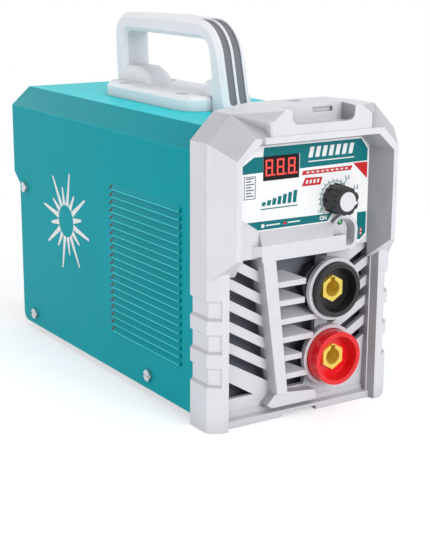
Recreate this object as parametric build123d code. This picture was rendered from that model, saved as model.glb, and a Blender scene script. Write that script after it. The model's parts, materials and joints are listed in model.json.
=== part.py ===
from build123d import *
import os
from math import acos, atan, ceil, cos, degrees, pi, radians, sin, sqrt, tan

# A small stick welding inverter: louvred sheet cover on a base tray, moulded front bezel with a
# grille, clamshell carrying handle, twist-lock output sockets, current knob, rocker switch and fan.
# While it is drawn, X is to the right, Y runs from the front to the rear and Z is up, with x = 0 in
# the middle plane, y = 0 at the front rim of the bezel's shoulders and z = 0 on the floor.
# All sizes are in millimetres.

# ---- clearances -------------------------------------------------------------------------------
FIT = 0.3             # between pieces that are assembled and do not move
TURN_GAP = 0.7        # between a turning piece and what it passes
BEARING_GAP = 0.05    # radial gap of a shaft or pin in its bore
SCREW_GAP = 0.3       # radial gap of a screw in its clearance hole

# ---- how finely round pieces are drawn --------------------------------------------------------
CUP_SIDES = 40        # flats round the socket cups and the rings they sit in
DISC_SIDES = 32       # knob cap, fan and other discs
BOSS_SIDES = 12       # small bosses, feet and screw heads
DRILL_SIDES = 8       # drilled clearance holes
LAMP_SIDES = 32       # the wall round the lamp
FLAT_SAG = 0.1        # how far a flat on a rounded outline may leave the true arc

# ---- front bezel ------------------------------------------------------------------------------
BEZEL_WIDTH = 120.0
BEZEL_HEIGHT = 167.2  # to the apex of the shoulders
BEZEL_DEPTH = 31.0    # shoulder rim to the back edge
SIDE_START = 14.8     # where the straight side faces begin
SHOULDER_CHAMFER = 14.0
SHOULDER_IN = 8.5     # how far the shoulder's front corner is set in from the side
SHOULDER_DROP = 7.6   # how far the shoulder's top corner falls towards the front
SHOULDER_FOOT = 94.8  # height of the shoulder's lower front edge
SHOULDER_UNDERCUT = 12.5
RIM = 2.9             # width of the front rim strip
RECESS_CORNER = 9.9   # height of the recess's slanted upper corners at the rim
RECESS_BACK_CORNER = 5.6
RECESS_FALL = 1.12    # run of those corners for each unit of their height
ROOF_DROP = 2.9       # how far the recess's roof falls towards the panel
BROW_HALF = 41.0      # where the shoulder's facet meets the sloping brow
SHOULDER_SKIN = 3.4
HOLLOW_FRONT = 4.4    # where the hollow inside the shoulders starts
HOLLOW_WALL = 2.6     # wall between that hollow and the recess
PANEL_SETBACK = 14.3  # control panel behind the rim
PANEL_THICK = 2.7
PANEL_HALF = 43.2     # half width of the control panel
PILLAR_FRONT = 10.2   # lower pillars' front strip behind the rim
PILLAR_IN = 6.3
PILLAR_STRIP = 4.6
PILLAR_WALL = 2.3
PILLAR_SPLAY = 2.3
PILLAR_RETURN = 2.4   # how far the pillar's angled face laps the side
FLUTE_COUNT = 3
FLUTE_FIRST = 26.9    # bottom of the lowest flute
FLUTE_PITCH = 18.1
FLUTE_TALL = 7.8
FLUTE_DEEP = 1.6
FLUTE_BEVEL = 1.6
BEZEL_FLOOR = 4.0

# ---- bumper over the control panel ------------------------------------------------------------
BUMPER_RISE = 3.0     # above the apex of the shoulders
BUMPER_TOP_HALF = 24.4
BUMPER_FACE_HALF = 32.3
BUMPER_CHEEK = 6.7    # height of the slanted upper corners of its face
BUMPER_NOD = 0.9      # how far its top falls towards the front
BUMPER_BEVEL = 1.2
BUMPER_PROUD = 2.4    # in front of the rim
BUMPER_DEEP = 16.7    # height of its front
LIP_HALF = 36.4
LIP_TALL = 3.2
LIP_STEP = 0.8        # the lip stands this far in front of the face above it
POCKET_HALF = 20.0
POCKET_FRONT = 0.8
POCKET_BACK = 10.0
POCKET_DEEP = 9.0
POCKET_STEP = 2.6
NOTCH_DEEP = 8.6
NOTCH_ROUND = 4.4
POCKET_SLOT = (13.0, 2.6, 2.0)
POCKET_SLOT_X = 7.5
TOP_SCREW_INSET = 6.0
TOP_SCREW_SINK = 4.0

# ---- sill, grille and bars --------------------------------------------------------------------
BAND_TOP = 97.8
BAND_TALL = 8.4
BAND_FRONT = 11.0
SILL_TOP = 105.3
SILL_LEFT = -28.4
PANEL_LOW = 91.0      # lower edge of the control panel beside the lamp recess
GRILLE_TOP_SET = 16.6
GRILLE_LEAN = 3.2     # how much further back the grille is at the floor
GRILLE_THICK = 3.0
GRILLE_FOOT = 5.8
GAP_COUNT = 5
GAP_FIRST = 36.6      # bottom edge of the lowest diagonal gap, at its outer end
GAP_PITCH = 11.6
GAP_TALL = 5.8
GAP_SLOPE = 29.5      # degrees
GAP_OUTER = 46.8
GAP_ENDS = (36.4, 20.5, 20.5, 34.0, 34.0)   # inner ends of the right-hand gaps, lowest first
GAP_TOP_END = 36.6    # outer end of the short gap on the left, under the band
GAP_CORNER = (-27.3, 26.2)    # point and height of the open corner beside the tongue
BAR_TOP = (-27.7, -19.6)
BAR_FOOT = (-17.3, -10.6)
BAR_FOOT_Z = 14.5
WEB_RIGHT = 18.2
WEB_STEP = (12.0, 46.0, 54.0)   # edge of the web between the sockets and its two heights
WEB_FOOT = (10.0, 6.0)          # the web's edge at the lower socket and at the tongue
LOUVRE_COUNT = 6
LOUVRE_TOP = 76.6
LOUVRE_PITCH = 10.35
LOUVRE_THICK = 3.0
LOUVRE_DEEP = 11.0
LOUVRE_RISE = 3.4
LOUVRE_FRONT = 12.6
LOUVRE_TIPS = (1.5, 0.9, 10.5, 7.1, -0.3, 3.4)      # right-hand ends, highest first
TONGUE_TOP = 14.4
TONGUE_LOW = 6.8
TONGUE_RIGHT = 9.0
TONGUE_FRONT = 12.7
TONGUE_WING = 5.5     # how far its left end reaches past the bar's foot
NOTCH_LIFT = 2.2
NOTCH_LEFT = -12.0

# ---- lamp recess ------------------------------------------------------------------------------
LAMP_X = 25.2
LAMP_Z = 99.8
LAMP_R = 9.2
LAMP_TIP_X = 29.9
LAMP_TIP_Z = 93.7
LAMP_TIP_R = 4.3
LAMP_RELIEF = 0.5     # how far the wall stays right of the lamp where it meets the sill
BAND_END = 26.6       # where the band stops inside the recess
LAMP_WALL = 1.8
LAMP_FRONT = 11.2
LAMP_FLOOR = 15.6
LAMP_SPLAY = 0.5      # how far the recess narrows per unit of depth
LED_X = 25.2
LED_Z = 104.2
LED_R = 1.5
LED_PROUD = 0.6

# ---- twist-lock sockets -----------------------------------------------------------------------
SOCKET_X = 18.7
SOCKET_Z = (30.6, 68.8)         # positive below, negative above
SOCKET_RIM = (4.7, 6.4)         # where each cup's rim stands
SOCKET_BOSS = (13.0, 9.6)       # where each ring boss's face stands
CUP_R = 14.9
CUP_WALL = 2.5
CUP_DEEP = 7.5
CUP_SEAT = 2.8
BOSS_WALL = 2.3
BOSS_LIP = 3.0        # depth of the ring where it stands free
BOSS_OPEN = 4.0       # the ring stands free further left of its centre than this
BOSS_SEAT_R = 12.0
BOSS_BACK = 23.0
NECK_R = 9.0
NECK_LONG = 12.0
PLUG_BORE_R = 4.5
PLUG_BORE_LONG = 16.0
INSERT_AF = 13.0
INSERT_SET = 5.0      # hexagon's face behind the cup's rim
INSERT_LONG = 23.0
KEYWAY = (3.0, 6.4)
SOCKET_NUT_AF = 24.0
SOCKET_NUT_THICK = 4.0
STUD_R = 4.0
STUD_LONG = 12.0

# ---- control panel ----------------------------------------------------------------------------
LABEL_THICK = 0.4
LABEL_DROP = 17.4     # label's top edge below the apex of the shoulders
LABEL_CORNER = (5.2, 6.7)
LABEL_MARGIN = 0.6    # bare panel beside and below the label
LABEL_FOOT = (5.8, 3.8)         # its slanted lower right corner
LABEL_LOW_CORNER = (14.2, 9.0)
DISPLAY_X = (-26.6, -3.6)
DISPLAY_DROP = 4.9    # below the label's top edge
DISPLAY_TALL = 13.4
DIGIT_TALL = 8.6
DIGIT_WIDE = 4.6
DIGIT_STROKE = 0.9
DIGIT_PITCH = 7.1
DIGIT_COUNT = 3
DIGIT_GAP = 0.15      # between the bars of a digit
KNOB_X = 19.9
KNOB_LIFT = 0.4       # gap between the lamp's wall and the knob's skirt
KNOB_R = 8.6          # toothed skirt against the panel
KNOB_TEETH = 16
SKIRT_TALL = 1.6
KNOB_BODY_R = 8.2
KNOB_FRONT_R = 7.6
KNOB_LONG = 10.8
KNOB_LOBES = 8
LOBE_DEEP = 0.9
KNOB_CAP_R = 5.2
KNOB_CAP_TALL = 1.0
KNOB_CAP_PROUD = 0.4
POINTER_ANGLE = -12.0
POINTER_TIP = 0.6     # width of the index mark at the knob's edge
SHAFT_R = 3.0
BUSHING_R = 4.0
POT_R = 8.0
POT_DEEP = 7.0
BOARD_GAP = 5.0       # control board behind the panel
BOARD_INSET = 5.0     # its edge inside the panel's
BOARD_THICK = 1.6

# ---- sheet cover and base tray ----------------------------------------------------------------
COVER_STEP = 3.0      # the bezel's side stands this far outside the cover
COVER_BOTTOM = 4.3
COVER_DROP = 9.2      # cover's top below the apex of the shoulders
BEVEL_GROWTH = 0.45   # how far the top bevel's ends move for each unit the outline grows
COVER_CHAMFER = (12.6, 11.2)
COVER_LAP = 6.0       # how far the cover reaches into the bezel
COVER_REAR = 248.5
SHEET = 1.0
HOOD_REACH = 8.5      # how far the upper part overhangs the rear panel
HOOD_LOW = 96.3
HOOD_SLANT = 6.7
COVER_CORNER = 5.0
LOUVRE_START = 45.5   # cover louvres, front end
SIDE_LOUVRE_LONG = 74.5
SIDE_LOUVRE_LOW = 28.6
SIDE_LOUVRE_PITCH = 4.45
SIDE_LOUVRE_COUNT = 20
SIDE_LOUVRE_TALL = 2.6
SIDE_LOUVRE_PROUD = 1.3
SIDE_LOUVRE_SKIN = 0.6
TRAY_SIDE = 14.0
TRAY_SIDE_SETBACK = 8.0         # its upturned sides start this far behind its front edge
FOOT_SPOT = (19.0, 22.0)        # rear feet in from the side and from the rear
FOOT_R = 7.0
FOOT_TAPER = 1.0

# ---- screws -----------------------------------------------------------------------------------
SCREW_HEAD_R = 3.4
SCREW_HEAD_TALL = 1.9
SCREW_SHANK_R = 1.7
SCREW_LONG = 6.0
SCREW_SLOT = 0.9
COVER_SCREWS = ((80.4, 12.8), (230.3, 11.9), (240.2, 95.0))

# ---- handle -----------------------------------------------------------------------------------
HANDLE_HALF = 9.0     # half width of the grip
HANDLE_RISE = 50.5    # top of the grip above the cover
GRIP_TALL = 11.4
HANDLE_FRONT = 82.0
HANDLE_REAR = 205.3
HANDLE_LEAN = 4.6     # the front post leans out this much towards its foot
HANDLE_TOE = 73.8
TOE_TALL = 7.0
CROWN_DROP = 1.2      # how far the grip's ends fall below its middle
CROWN_R = 300.0
POST_DRAFT = 1.4      # how much each post grows between the grip and its dome
REAR_SWELL = 2.6      # how far the rear post leans out towards the grip
FRONT_POST = 13.6
REAR_POST = 13.4
GRIP_BEVEL = 2.4
NOSE_R = 25.0         # outer corner over the front post
HEEL_R = 14.0
GAP_FRONT_R = 10.0
GAP_REAR_R = 4.0
GROOVE_WIDE = 4.9
GROOVE_RIB = 1.6
GROOVE_DEEP = 1.6
GROOVE_TOP_END = 113.0
GROOVE_REST = 2.5     # groove's lower end above the cover
GROOVE_POINT = 3.0
FOOT_PLATE_HALF = 24.4
FOOT_PLATE_TALL = 8.0
FOOT_PLATE_FRONT = 90.5
FOOT_PLATE_REAR = 202.0
FOOT_PLATE_BEVEL = 2.0
FOOT_PLATE_NOSE = 15.0
FOOT_PLATE_TAIL = 13.0
FOOT_PLATE_ROUND = 12.0
FOOT_PLATE_DRAW = 1.2  # how much narrower the plate is at its tail
HUMP_TALL = 9.6
HUMP_REAR_LONG = 27.0
HUMP_FRONT_LONG = 12.0
HANDLE_BOLT_X = 16.0
HANDLE_BOLT_INSET = (21.5, 24.0)
HANDLE_BOLT_SINK = 2.5

# ---- rear panel, switch, gland and fan --------------------------------------------------------
REAR_SET = 3.0        # panel's outer face inside the cover's rear edge
REAR_THICK = 1.5
FLANGE_DEEP = 9.0
FLANGE_Z = (60.0, 135.0)
FAN_SIZE = 80.0
FAN_DEEP = 25.0
FAN_BORE_R = 38.0
FAN_HOLES = 71.5      # spacing of the fan's screws
FAN_Z = 54.0
FAN_HUB_R = 16.0
FAN_SHAFT_R = 1.5
FAN_PLATE = 4.0       # thickness of the struts and the motor's seat
FAN_STRUT = 3.0
BLADE_COUNT = 7
BLADE_R = 36.2
BLADE_PITCH = 42.0    # degrees from the plane of rotation
BLADE_CAMBER = 2.2
BLADE_THICK = 1.4
BLADE_WIDE = 18.0
HUB_TALL = 18.0
GUARD_RINGS = 4
GUARD_WIRE = 1.8
GUARD_SIDES = 16
GUARD_LUG_R = 4.0
SWITCH_X = -24.0
SWITCH_DROP = 34.0    # switch and cord entry below the cover's top
SWITCH_WIDE = 25.5
SWITCH_TALL = 31.0
SWITCH_FLANGE = 2.0
SWITCH_BODY = (22.0, 27.0, 22.0)
ROCKER_R = 11.6
ROCKER_WIDE = 16.0
ROCKER_TILT = 12.0
ROCKER_PIN_R = 1.6
ROCKER_PIN_LONG = 2.4
ROCKER_SINK = 0.6     # pivot behind the panel's outer face
ROCKER_FACE = (10.2, 4.6, 2.4)  # half height, height of its ends and of its dished middle
ROCKER_BACK = ((9.0, -1.5), (2.0, -6.0))
ROCKER_WELL = 8.5     # depth of the housing's well behind the pivot
SPADE = (0.8, 6.4, 8.0)
SPADE_X = 5.0
GLAND_X = 26.0
GLAND_R = 8.0
GLAND_BORE_R = 4.2
GLAND_DOME = 9.5
GLAND_HEX = 5.0
GLAND_AF = 19.0
GLAND_TAPER = 1.4
GLAND_THREAD_R = 6.5
GLAND_THREAD_LONG = 3.0         # thread that shows behind the nut
GLAND_NUT_THICK = 4.0

# ---- power electronics ------------------------------------------------------------------------
MAIN_BOARD = (100.0, 158.0)
BOARD_LIFT = 12.0
BOARD_START = 46.0
BOARD_HOLE_INSET = 5.0
STANDOFF_AF = 5.5
SINK_WIDE = 30.0
SINK_START = 60.0
SINK_LONG = 112.0
SINK_TALL = 52.0
SINK_FINS = 6
SINK_FIN = 2.0
SINK_BASE = 5.0
TRANSFORMER_Y = 82.0
CORE = (42.0, 42.0, 40.0)
CORE_LIMB = 4.2       # the core's outer limbs
CORE_WINDOW = 10.0    # the winding's space between its limbs
CORE_YOKE = 7.0
CAP_R = 12.5
CAP_TALL = 34.0
CAP_GAP = 5.0
CHOKE_Y = 128.0
CHOKE_R = 14.0
CHOKE_BORE_R = 5.9
CHOKE_TALL = 16.0
TRANSISTOR_COUNT = 4
TRANSISTOR_START = 112.0
TRANSISTOR_PITCH = 17.0
TRANSISTOR = (5.0, 14.0, 20.0)
RECTIFIER = (26.0, 8.0)
DRIVER_BOARD = (26.0, 34.0)
BAR_WIDE = 12.0       # output bars
BAR_THICK = 2.0
POSITIVE_BAR_Y = 38.0
NEGATIVE_BAR_Y = 40.0
STUD_NUT = (13.0, 4.0)          # across flats and thickness
SCREEN_THICK = 1.0


# ---- drawing helpers --------------------------------------------------------------------------
def block(x0, x1, y0, y1, z0, z1):
    """Rectangular block between two corners."""
    centre = Pos((x0 + x1) / 2, (y0 + y1) / 2, (z0 + z1) / 2)
    return centre * Box(abs(x1 - x0), abs(y1 - y0), abs(z1 - z0))


def plane_across(axis, at):
    """Plane square to an axis; its local axes are the two others in X, Y, Z order."""
    if axis == "X":
        return Plane((at, 0, 0), x_dir=(0, 1, 0), z_dir=(1, 0, 0))
    if axis == "Y":
        return Plane((0, at, 0), x_dir=(1, 0, 0), z_dir=(0, -1, 0))
    return Plane((0, 0, at), x_dir=(1, 0, 0), z_dir=(0, 0, 1))


def direction(axis):
    return Vector(axis == "X", axis == "Y", axis == "Z")


def sweep_flat(sketch, axis, low, high):
    """A flat sketch, given in the two other axes, made solid from low to high along an axis."""
    return extrude(plane_across(axis, low) * sketch, high - low, dir=direction(axis))


def prism(points, axis, low, high):
    return sweep_flat(Polygon(*points, align=None), axis, low, high)


def rod(axis, a, b, radius, low, high):
    """Round bar along an axis; a and b place it in the two other axes."""
    return sweep_flat(Pos(a, b) * Circle(radius), axis, low, high)


def bar(axis, a, b, radius, low, high, sides):
    """Round bar drawn with flats; its corners lie on the radius."""
    return sweep_flat(Pos(a, b) * RegularPolygon(radius, sides), axis, low, high)


def hole(axis, a, b, radius, low, high, sides=DRILL_SIDES):
    """Cutter for a round hole drawn with flats; the flats lie on the radius."""
    return bar(axis, a, b, radius / cos(pi / sides), low, high, sides)


def taper(axis, a, b, r_low, r_high, low, high, sides):
    """Flat-sided taper along an axis, from r_low at low to r_high at high."""
    lean = degrees(atan((r_low - r_high) * cos(pi / sides) / (high - low)))
    face = plane_across(axis, low) * Pos(a, b) * RegularPolygon(r_low, sides)
    return extrude(face, high - low, dir=direction(axis), taper=lean)


def span(front, back, axis, low, high):
    """Straight-sided solid between two outlines with as many points each."""
    ends = ((low, front), (high, back))
    return loft([plane_across(axis, at) * Polygon(*points, align=None) for at, points in ends], ruled=True)


def rounded_corner(before, corner, after, radius):
    """Points of one rounded corner, its arc drawn with flats."""
    to_before, to_after = (before - corner).normalized(), (after - corner).normalized()
    half_angle = radians(to_before.get_angle(to_after)) / 2
    middle = corner + (to_before + to_after).normalized() * (radius / sin(half_angle))
    start = corner + to_before * (radius / tan(half_angle)) - middle
    end = corner + to_after * (radius / tan(half_angle)) - middle
    turn = pi - 2 * half_angle
    flats = ceil(turn / (2 * acos(1 - FLAT_SAG / radius)))
    spokes = [(start * sin(turn * (flats - step) / flats) + end * sin(turn * step / flats)) * (1 / sin(turn))
              for step in range(flats + 1)]
    return [middle + spoke for spoke in spokes]


def arched_outline(corners):
    """Flat outline from corners given as (a, b, radius), with true arcs that take a bevel."""
    shape = make_face(Polyline(*[(a, b) for a, b, _ in corners], close=True))
    for a, b, radius in corners:
        if radius:
            shape = fillet(shape.vertices().sort_by_distance((a, b))[0], radius)
    return shape


def rounded_outline(corners):
    """Flat outline from corners given as (a, b, radius), its rounds drawn with flats."""
    places = [Vector(a, b) for a, b, _ in corners]
    points = []
    for index, (_, _, radius) in enumerate(corners):
        if radius:
            after = places[(index + 1) % len(places)]
            points += rounded_corner(places[index - 1], places[index], after, radius)
        else:
            points.append(places[index])
    return Polygon(*[(point.X, point.Y) for point in points], align=None)


def hexagon(axis, a, b, across_flats, low, high, turn=0.0):
    corner_r = across_flats / sqrt(3)
    return sweep_flat(Pos(a, b) * Rot(0, 0, turn) * RegularPolygon(corner_r, 6), axis, low, high)


def both_sides(piece):
    return piece + mirror(piece, Plane.YZ)


def all_of(pieces):
    """Separate solids kept side by side in one node."""
    solids = []
    for piece in pieces:
        solids.extend(piece.solids())
    return Compound(children=solids)


def mirrored_outline(right_side):
    """Closed outline from the points of its right half, listed from the bottom up."""
    return list(right_side) + [(-x, z) for x, z in reversed(right_side)]


# ---- derived sizes ----------------------------------------------------------------------------
HALF = BEZEL_WIDTH / 2
COVER_HALF = HALF - COVER_STEP
COVER_START = BEZEL_DEPTH - COVER_LAP
HOOD_REAR = COVER_REAR + HOOD_REACH
REAR_OUT = COVER_REAR - REAR_SET
REAR_IN = REAR_OUT - REAR_THICK
TRAY_TOP = COVER_BOTTOM + SHEET
INNER_HALF = COVER_HALF - SHEET
PANEL_BACK = PANEL_SETBACK + PANEL_THICK
COVER_TOP = BEZEL_HEIGHT - COVER_DROP
LABEL_TOP = BEZEL_HEIGHT - LABEL_DROP
DISPLAY_Z = (LABEL_TOP - DISPLAY_DROP - DISPLAY_TALL, LABEL_TOP - DISPLAY_DROP)
KNOB_Z = LAMP_Z + LAMP_R + KNOB_LIFT + KNOB_R
BUMPER_Z = BEZEL_HEIGHT + BUMPER_RISE
BUMPER_BOTTOM = BUMPER_Z - BUMPER_DEEP
BUMPER_FRONT = -BUMPER_PROUD
BAND_LOW = BAND_TOP - BAND_TALL
HANDLE_SEAT = COVER_TOP
HANDLE_TOP = COVER_TOP + HANDLE_RISE
HANDLE_UNDER = HANDLE_TOP - GRIP_TALL
GROOVE_LOW_END = COVER_TOP + GROOVE_REST
SWITCH_Z = GLAND_Z = COVER_TOP - SWITCH_DROP
PLATE_TOP = HANDLE_SEAT + FOOT_PLATE_TALL
BOARD_Z = TRAY_TOP + BOARD_LIFT
BOARD_TOP = BOARD_Z + BOARD_THICK


def grille_front(z):
    """The grille's front face leans back towards the floor."""
    return GRILLE_TOP_SET + GRILLE_LEAN * (BAND_LOW - z) / BAND_LOW


def bar_edge(side, z):
    """Left (0) or right (1) edge of the leaning bar at a height."""
    share = (BAND_LOW - z) / (BAND_LOW - BAR_FOOT_Z)
    return BAR_TOP[side] + share * (BAR_FOOT[side] - BAR_TOP[side])


# ---- front bezel ------------------------------------------------------------------------------
def bezel_section():
    right_side = (
        (HALF, 0),
        (HALF, BEZEL_HEIGHT - SHOULDER_CHAMFER),
        (HALF - SHOULDER_CHAMFER, BEZEL_HEIGHT),
        (BUMPER_TOP_HALF, BUMPER_Z),
    )
    return mirrored_outline(right_side)


def cover_section(out, bottom):
    """Outline of the cover, grown outwards by out, from a given bottom."""
    wide, tall = COVER_CHAMFER
    slant = out * BEVEL_GROWTH
    right_side = (
        (COVER_HALF + out, bottom),
        (COVER_HALF + out, COVER_TOP - tall + slant),
        (COVER_HALF - wide + slant, COVER_TOP + out),
    )
    return mirrored_outline(right_side)


def shoulders():
    """Both shoulders and the brow that joins them: sloping facets above, undercut feet below."""
    front_x = HALF - SHOULDER_IN
    front_z = BEZEL_HEIGHT - SHOULDER_CHAMFER - SHOULDER_DROP
    plan = mirrored_outline(((front_x, 0), (HALF, SIDE_START), (HALF, PANEL_BACK)))
    foot = SHOULDER_FOOT - SHOULDER_UNDERCUT * PANEL_BACK / SIDE_START
    body = prism(plan, "Z", foot - 1, BEZEL_HEIGHT)
    for side in (-1, 1):
        side_top = Vector(side * HALF, SIDE_START, BEZEL_HEIGHT - SHOULDER_CHAMFER)
        apex = Vector(side * (HALF - SHOULDER_CHAMFER), SIDE_START, BEZEL_HEIGHT)
        front_top = Vector(side * front_x, 0, front_z)
        facet = (apex - side_top).cross(front_top - side_top) * side
        body = split(body, Plane(side_top, z_dir=facet), keep=Keep.BOTTOM)
        body = split(body, Plane(side_top, z_dir=(side, 0, 1)), keep=Keep.BOTTOM)
    brow_z = front_z + front_x - BROW_HALF
    brow = Plane((0, 0, brow_z), z_dir=(0, brow_z - BEZEL_HEIGHT, SIDE_START))
    body = split(body, brow, keep=Keep.BOTTOM)
    under = Vector(0, -SHOULDER_UNDERCUT, -SIDE_START)
    return split(body, Plane((0, 0, SHOULDER_FOOT), z_dir=under), keep=Keep.BOTTOM)


def shoulder_hollow():
    """Right-hand shoulder's hollow, open to the rear."""
    front_x = HALF - SHOULDER_IN
    plan = (
        (HALF - SHOULDER_SKIN, PANEL_BACK + 1),
        (HALF - SHOULDER_SKIN, SIDE_START + HOLLOW_WALL / 2),
        (front_x - HOLLOW_WALL / 3, HOLLOW_FRONT),
        (front_x - RIM + HOLLOW_WALL / 4, HOLLOW_FRONT),
        (PANEL_HALF + HOLLOW_WALL, PANEL_SETBACK),
        (PANEL_HALF + HOLLOW_WALL, PANEL_BACK + 1),
    )
    high = BEZEL_HEIGHT - SHOULDER_CHAMFER - SHOULDER_DROP - HOLLOW_WALL
    return prism(plan, "Z", SHOULDER_FOOT + HOLLOW_WALL, high)


def recess_outline(half, corner, roof):
    low = SHOULDER_FOOT - 2 * SHOULDER_UNDERCUT
    return mirrored_outline(((half, low), (half, roof - corner), (half - RECESS_FALL * corner, roof)))


def recess():
    """Flared hollow in front of the control panel, from the rim back to the panel."""
    rim = recess_outline(HALF - SHOULDER_IN - RIM, RECESS_CORNER, BUMPER_BOTTOM)
    panel = recess_outline(PANEL_HALF, RECESS_BACK_CORNER, BUMPER_BOTTOM - ROOF_DROP)
    return span(rim, panel, "Y", 0, PANEL_SETBACK)


def pillar():
    """Right-hand lower pillar with its angled face, front strip and inner wall."""
    strip_out = HALF - PILLAR_IN
    strip_in = strip_out - PILLAR_STRIP
    wall_back = grille_front(0) + GRILLE_THICK
    wall_in = strip_in - PILLAR_SPLAY
    back = SIDE_START + PILLAR_RETURN
    plan = (
        (HALF, back),
        (HALF, SIDE_START),
        (strip_out, PILLAR_FRONT),
        (strip_in, PILLAR_FRONT),
        (wall_in, grille_front(BAND_LOW)),
        (wall_in, wall_back),
        (wall_in + PILLAR_WALL, wall_back),
        (wall_in + PILLAR_WALL, back),
    )
    return prism(plan, "Z", 0, SHOULDER_FOOT)


def flute_cutter(bottom):
    """Bevelled groove round the outside of the right-hand pillar."""
    deep = FLUTE_DEEP
    strip_out = HALF - PILLAR_IN
    outer = ((HALF, BEZEL_DEPTH + 1), (HALF, SIDE_START), (strip_out, PILLAR_FRONT))
    inner = (
        (HALF - deep, BEZEL_DEPTH + 1),
        (HALF - deep, SIDE_START + deep * 0.4),
        (strip_out - FIT, PILLAR_FRONT + deep * 0.8),
    )
    inside = ((HALF / 2, PILLAR_FRONT + 3), (HALF / 2, BEZEL_DEPTH + 1))
    reach = 2 * deep
    around = (
        (HALF + reach, BEZEL_DEPTH + 1),
        (HALF + reach, SIDE_START - reach),
        (strip_out - FIT, PILLAR_FRONT - reach),
        (strip_out - FIT, PILLAR_FRONT + 3),
        (HALF / 2, PILLAR_FRONT + 3),
        (HALF / 2, BEZEL_DEPTH + 1),
    )
    top = bottom + FLUTE_TALL
    slab = prism(around, "Z", bottom - FLUTE_BEVEL, top + FLUTE_BEVEL)
    wide = Polygon(*outer, *inside, align=None)
    narrow = Polygon(*inner, *inside, align=None)
    core = prism((*inner, *inside), "Z", bottom, top)
    core += loft([Pos(0, 0, bottom - FLUTE_BEVEL) * wide, Pos(0, 0, bottom) * narrow], ruled=True)
    core += loft([Pos(0, 0, top) * narrow, Pos(0, 0, top + FLUTE_BEVEL) * wide], ruled=True)
    return slab - core


def facet(a, b, c):
    """Plane through three points; it faces the side from which they turn to the left."""
    return Plane(a, z_dir=(b - a).cross(c - a))


def bumper_half():
    """Right half of the bumper's cap: sloping top, two cheek facets and an undercut wing."""
    face = BUMPER_FRONT + LIP_STEP
    apex_half = HALF - SHOULDER_CHAMFER
    front_low = Vector(BUMPER_FACE_HALF, face, BUMPER_Z - BUMPER_CHEEK)
    front_high = Vector(BUMPER_TOP_HALF, face, BUMPER_Z - BUMPER_NOD)
    back_low = Vector(apex_half, SIDE_START, BEZEL_HEIGHT)
    back_high = Vector(BUMPER_TOP_HALF, SIDE_START, BUMPER_Z)
    root = Vector(BUMPER_FACE_HALF, SIDE_START, BUMPER_BOTTOM)
    body = block(0, apex_half, face, SIDE_START, BUMPER_BOTTOM, BUMPER_Z + 1)
    body = split(body, facet(front_high, front_high + Vector(1, 0, 0), back_high), keep=Keep.BOTTOM)
    body = split(body, facet(front_low, back_low, front_high), keep=Keep.BOTTOM)
    body = split(body, facet(front_high, back_low, back_high), keep=Keep.BOTTOM)
    wing = split(body, facet(front_low, root, back_low), keep=Keep.BOTTOM)
    body = split(body, Plane(root, z_dir=(1, 0, 0)), keep=Keep.BOTTOM) + wing
    bevel_start = BUMPER_FACE_HALF - BUMPER_BEVEL
    bevel = (
        (bevel_start - 1, face - 1),
        (BUMPER_FACE_HALF + 1, face - 1),
        (BUMPER_FACE_HALF + 1, face + BUMPER_BEVEL + 1),
    )
    return body - prism(bevel, "Z", BUMPER_BOTTOM - 1, BUMPER_Z + 1)


def bumper():
    """Bumper over the control panel: a cap with flared cheeks above a wider lip."""
    lip = block(-LIP_HALF, LIP_HALF, BUMPER_FRONT, 1, BUMPER_BOTTOM, BUMPER_BOTTOM + LIP_TALL)
    return both_sides(bumper_half()) + lip


def pocket():
    """Everything cut away for the bumper's finger pocket and its notch."""
    low = BUMPER_Z - POCKET_DEEP
    cut = block(-POCKET_HALF, POCKET_HALF, POCKET_FRONT, POCKET_BACK, low, BUMPER_Z + 1)
    middle = (POCKET_FRONT + POCKET_BACK) / 2
    cut += block(-POCKET_HALF + 2, POCKET_HALF - 2, POCKET_FRONT, middle, low - POCKET_STEP, low + 1)
    notch = rounded_outline((
        (-POCKET_HALF, BUMPER_Z - NOTCH_DEEP, NOTCH_ROUND),
        (POCKET_HALF, BUMPER_Z - NOTCH_DEEP, NOTCH_ROUND),
        (POCKET_HALF, BUMPER_Z + 1, 0),
        (-POCKET_HALF, BUMPER_Z + 1, 0),
    ))
    cut += sweep_flat(notch, "Y", BUMPER_FRONT - 1, POCKET_FRONT + 0.5)
    wide, tall, deep = POCKET_SLOT
    return cut + block(POCKET_SLOT_X - wide / 2, POCKET_SLOT_X + wide / 2, POCKET_BACK - 0.5,
                       POCKET_BACK + deep, BUMPER_Z - 2 - tall, BUMPER_Z - 2)


def diagonal_gap(outer_low, tall, inner_x, outer_x=GAP_OUTER):
    """Slanted slot on the right-hand side; it falls towards the middle of the bezel."""
    slope = tan(radians(GAP_SLOPE))

    def low_at(x):
        return outer_low - slope * (GAP_OUTER - x)

    points = (
        (inner_x, low_at(inner_x)),
        (outer_x, low_at(outer_x)),
        (outer_x, low_at(outer_x) + tall),
        (inner_x, low_at(inner_x) + tall),
    )
    return prism(points, "Y", PILLAR_FRONT, BEZEL_DEPTH)


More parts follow.
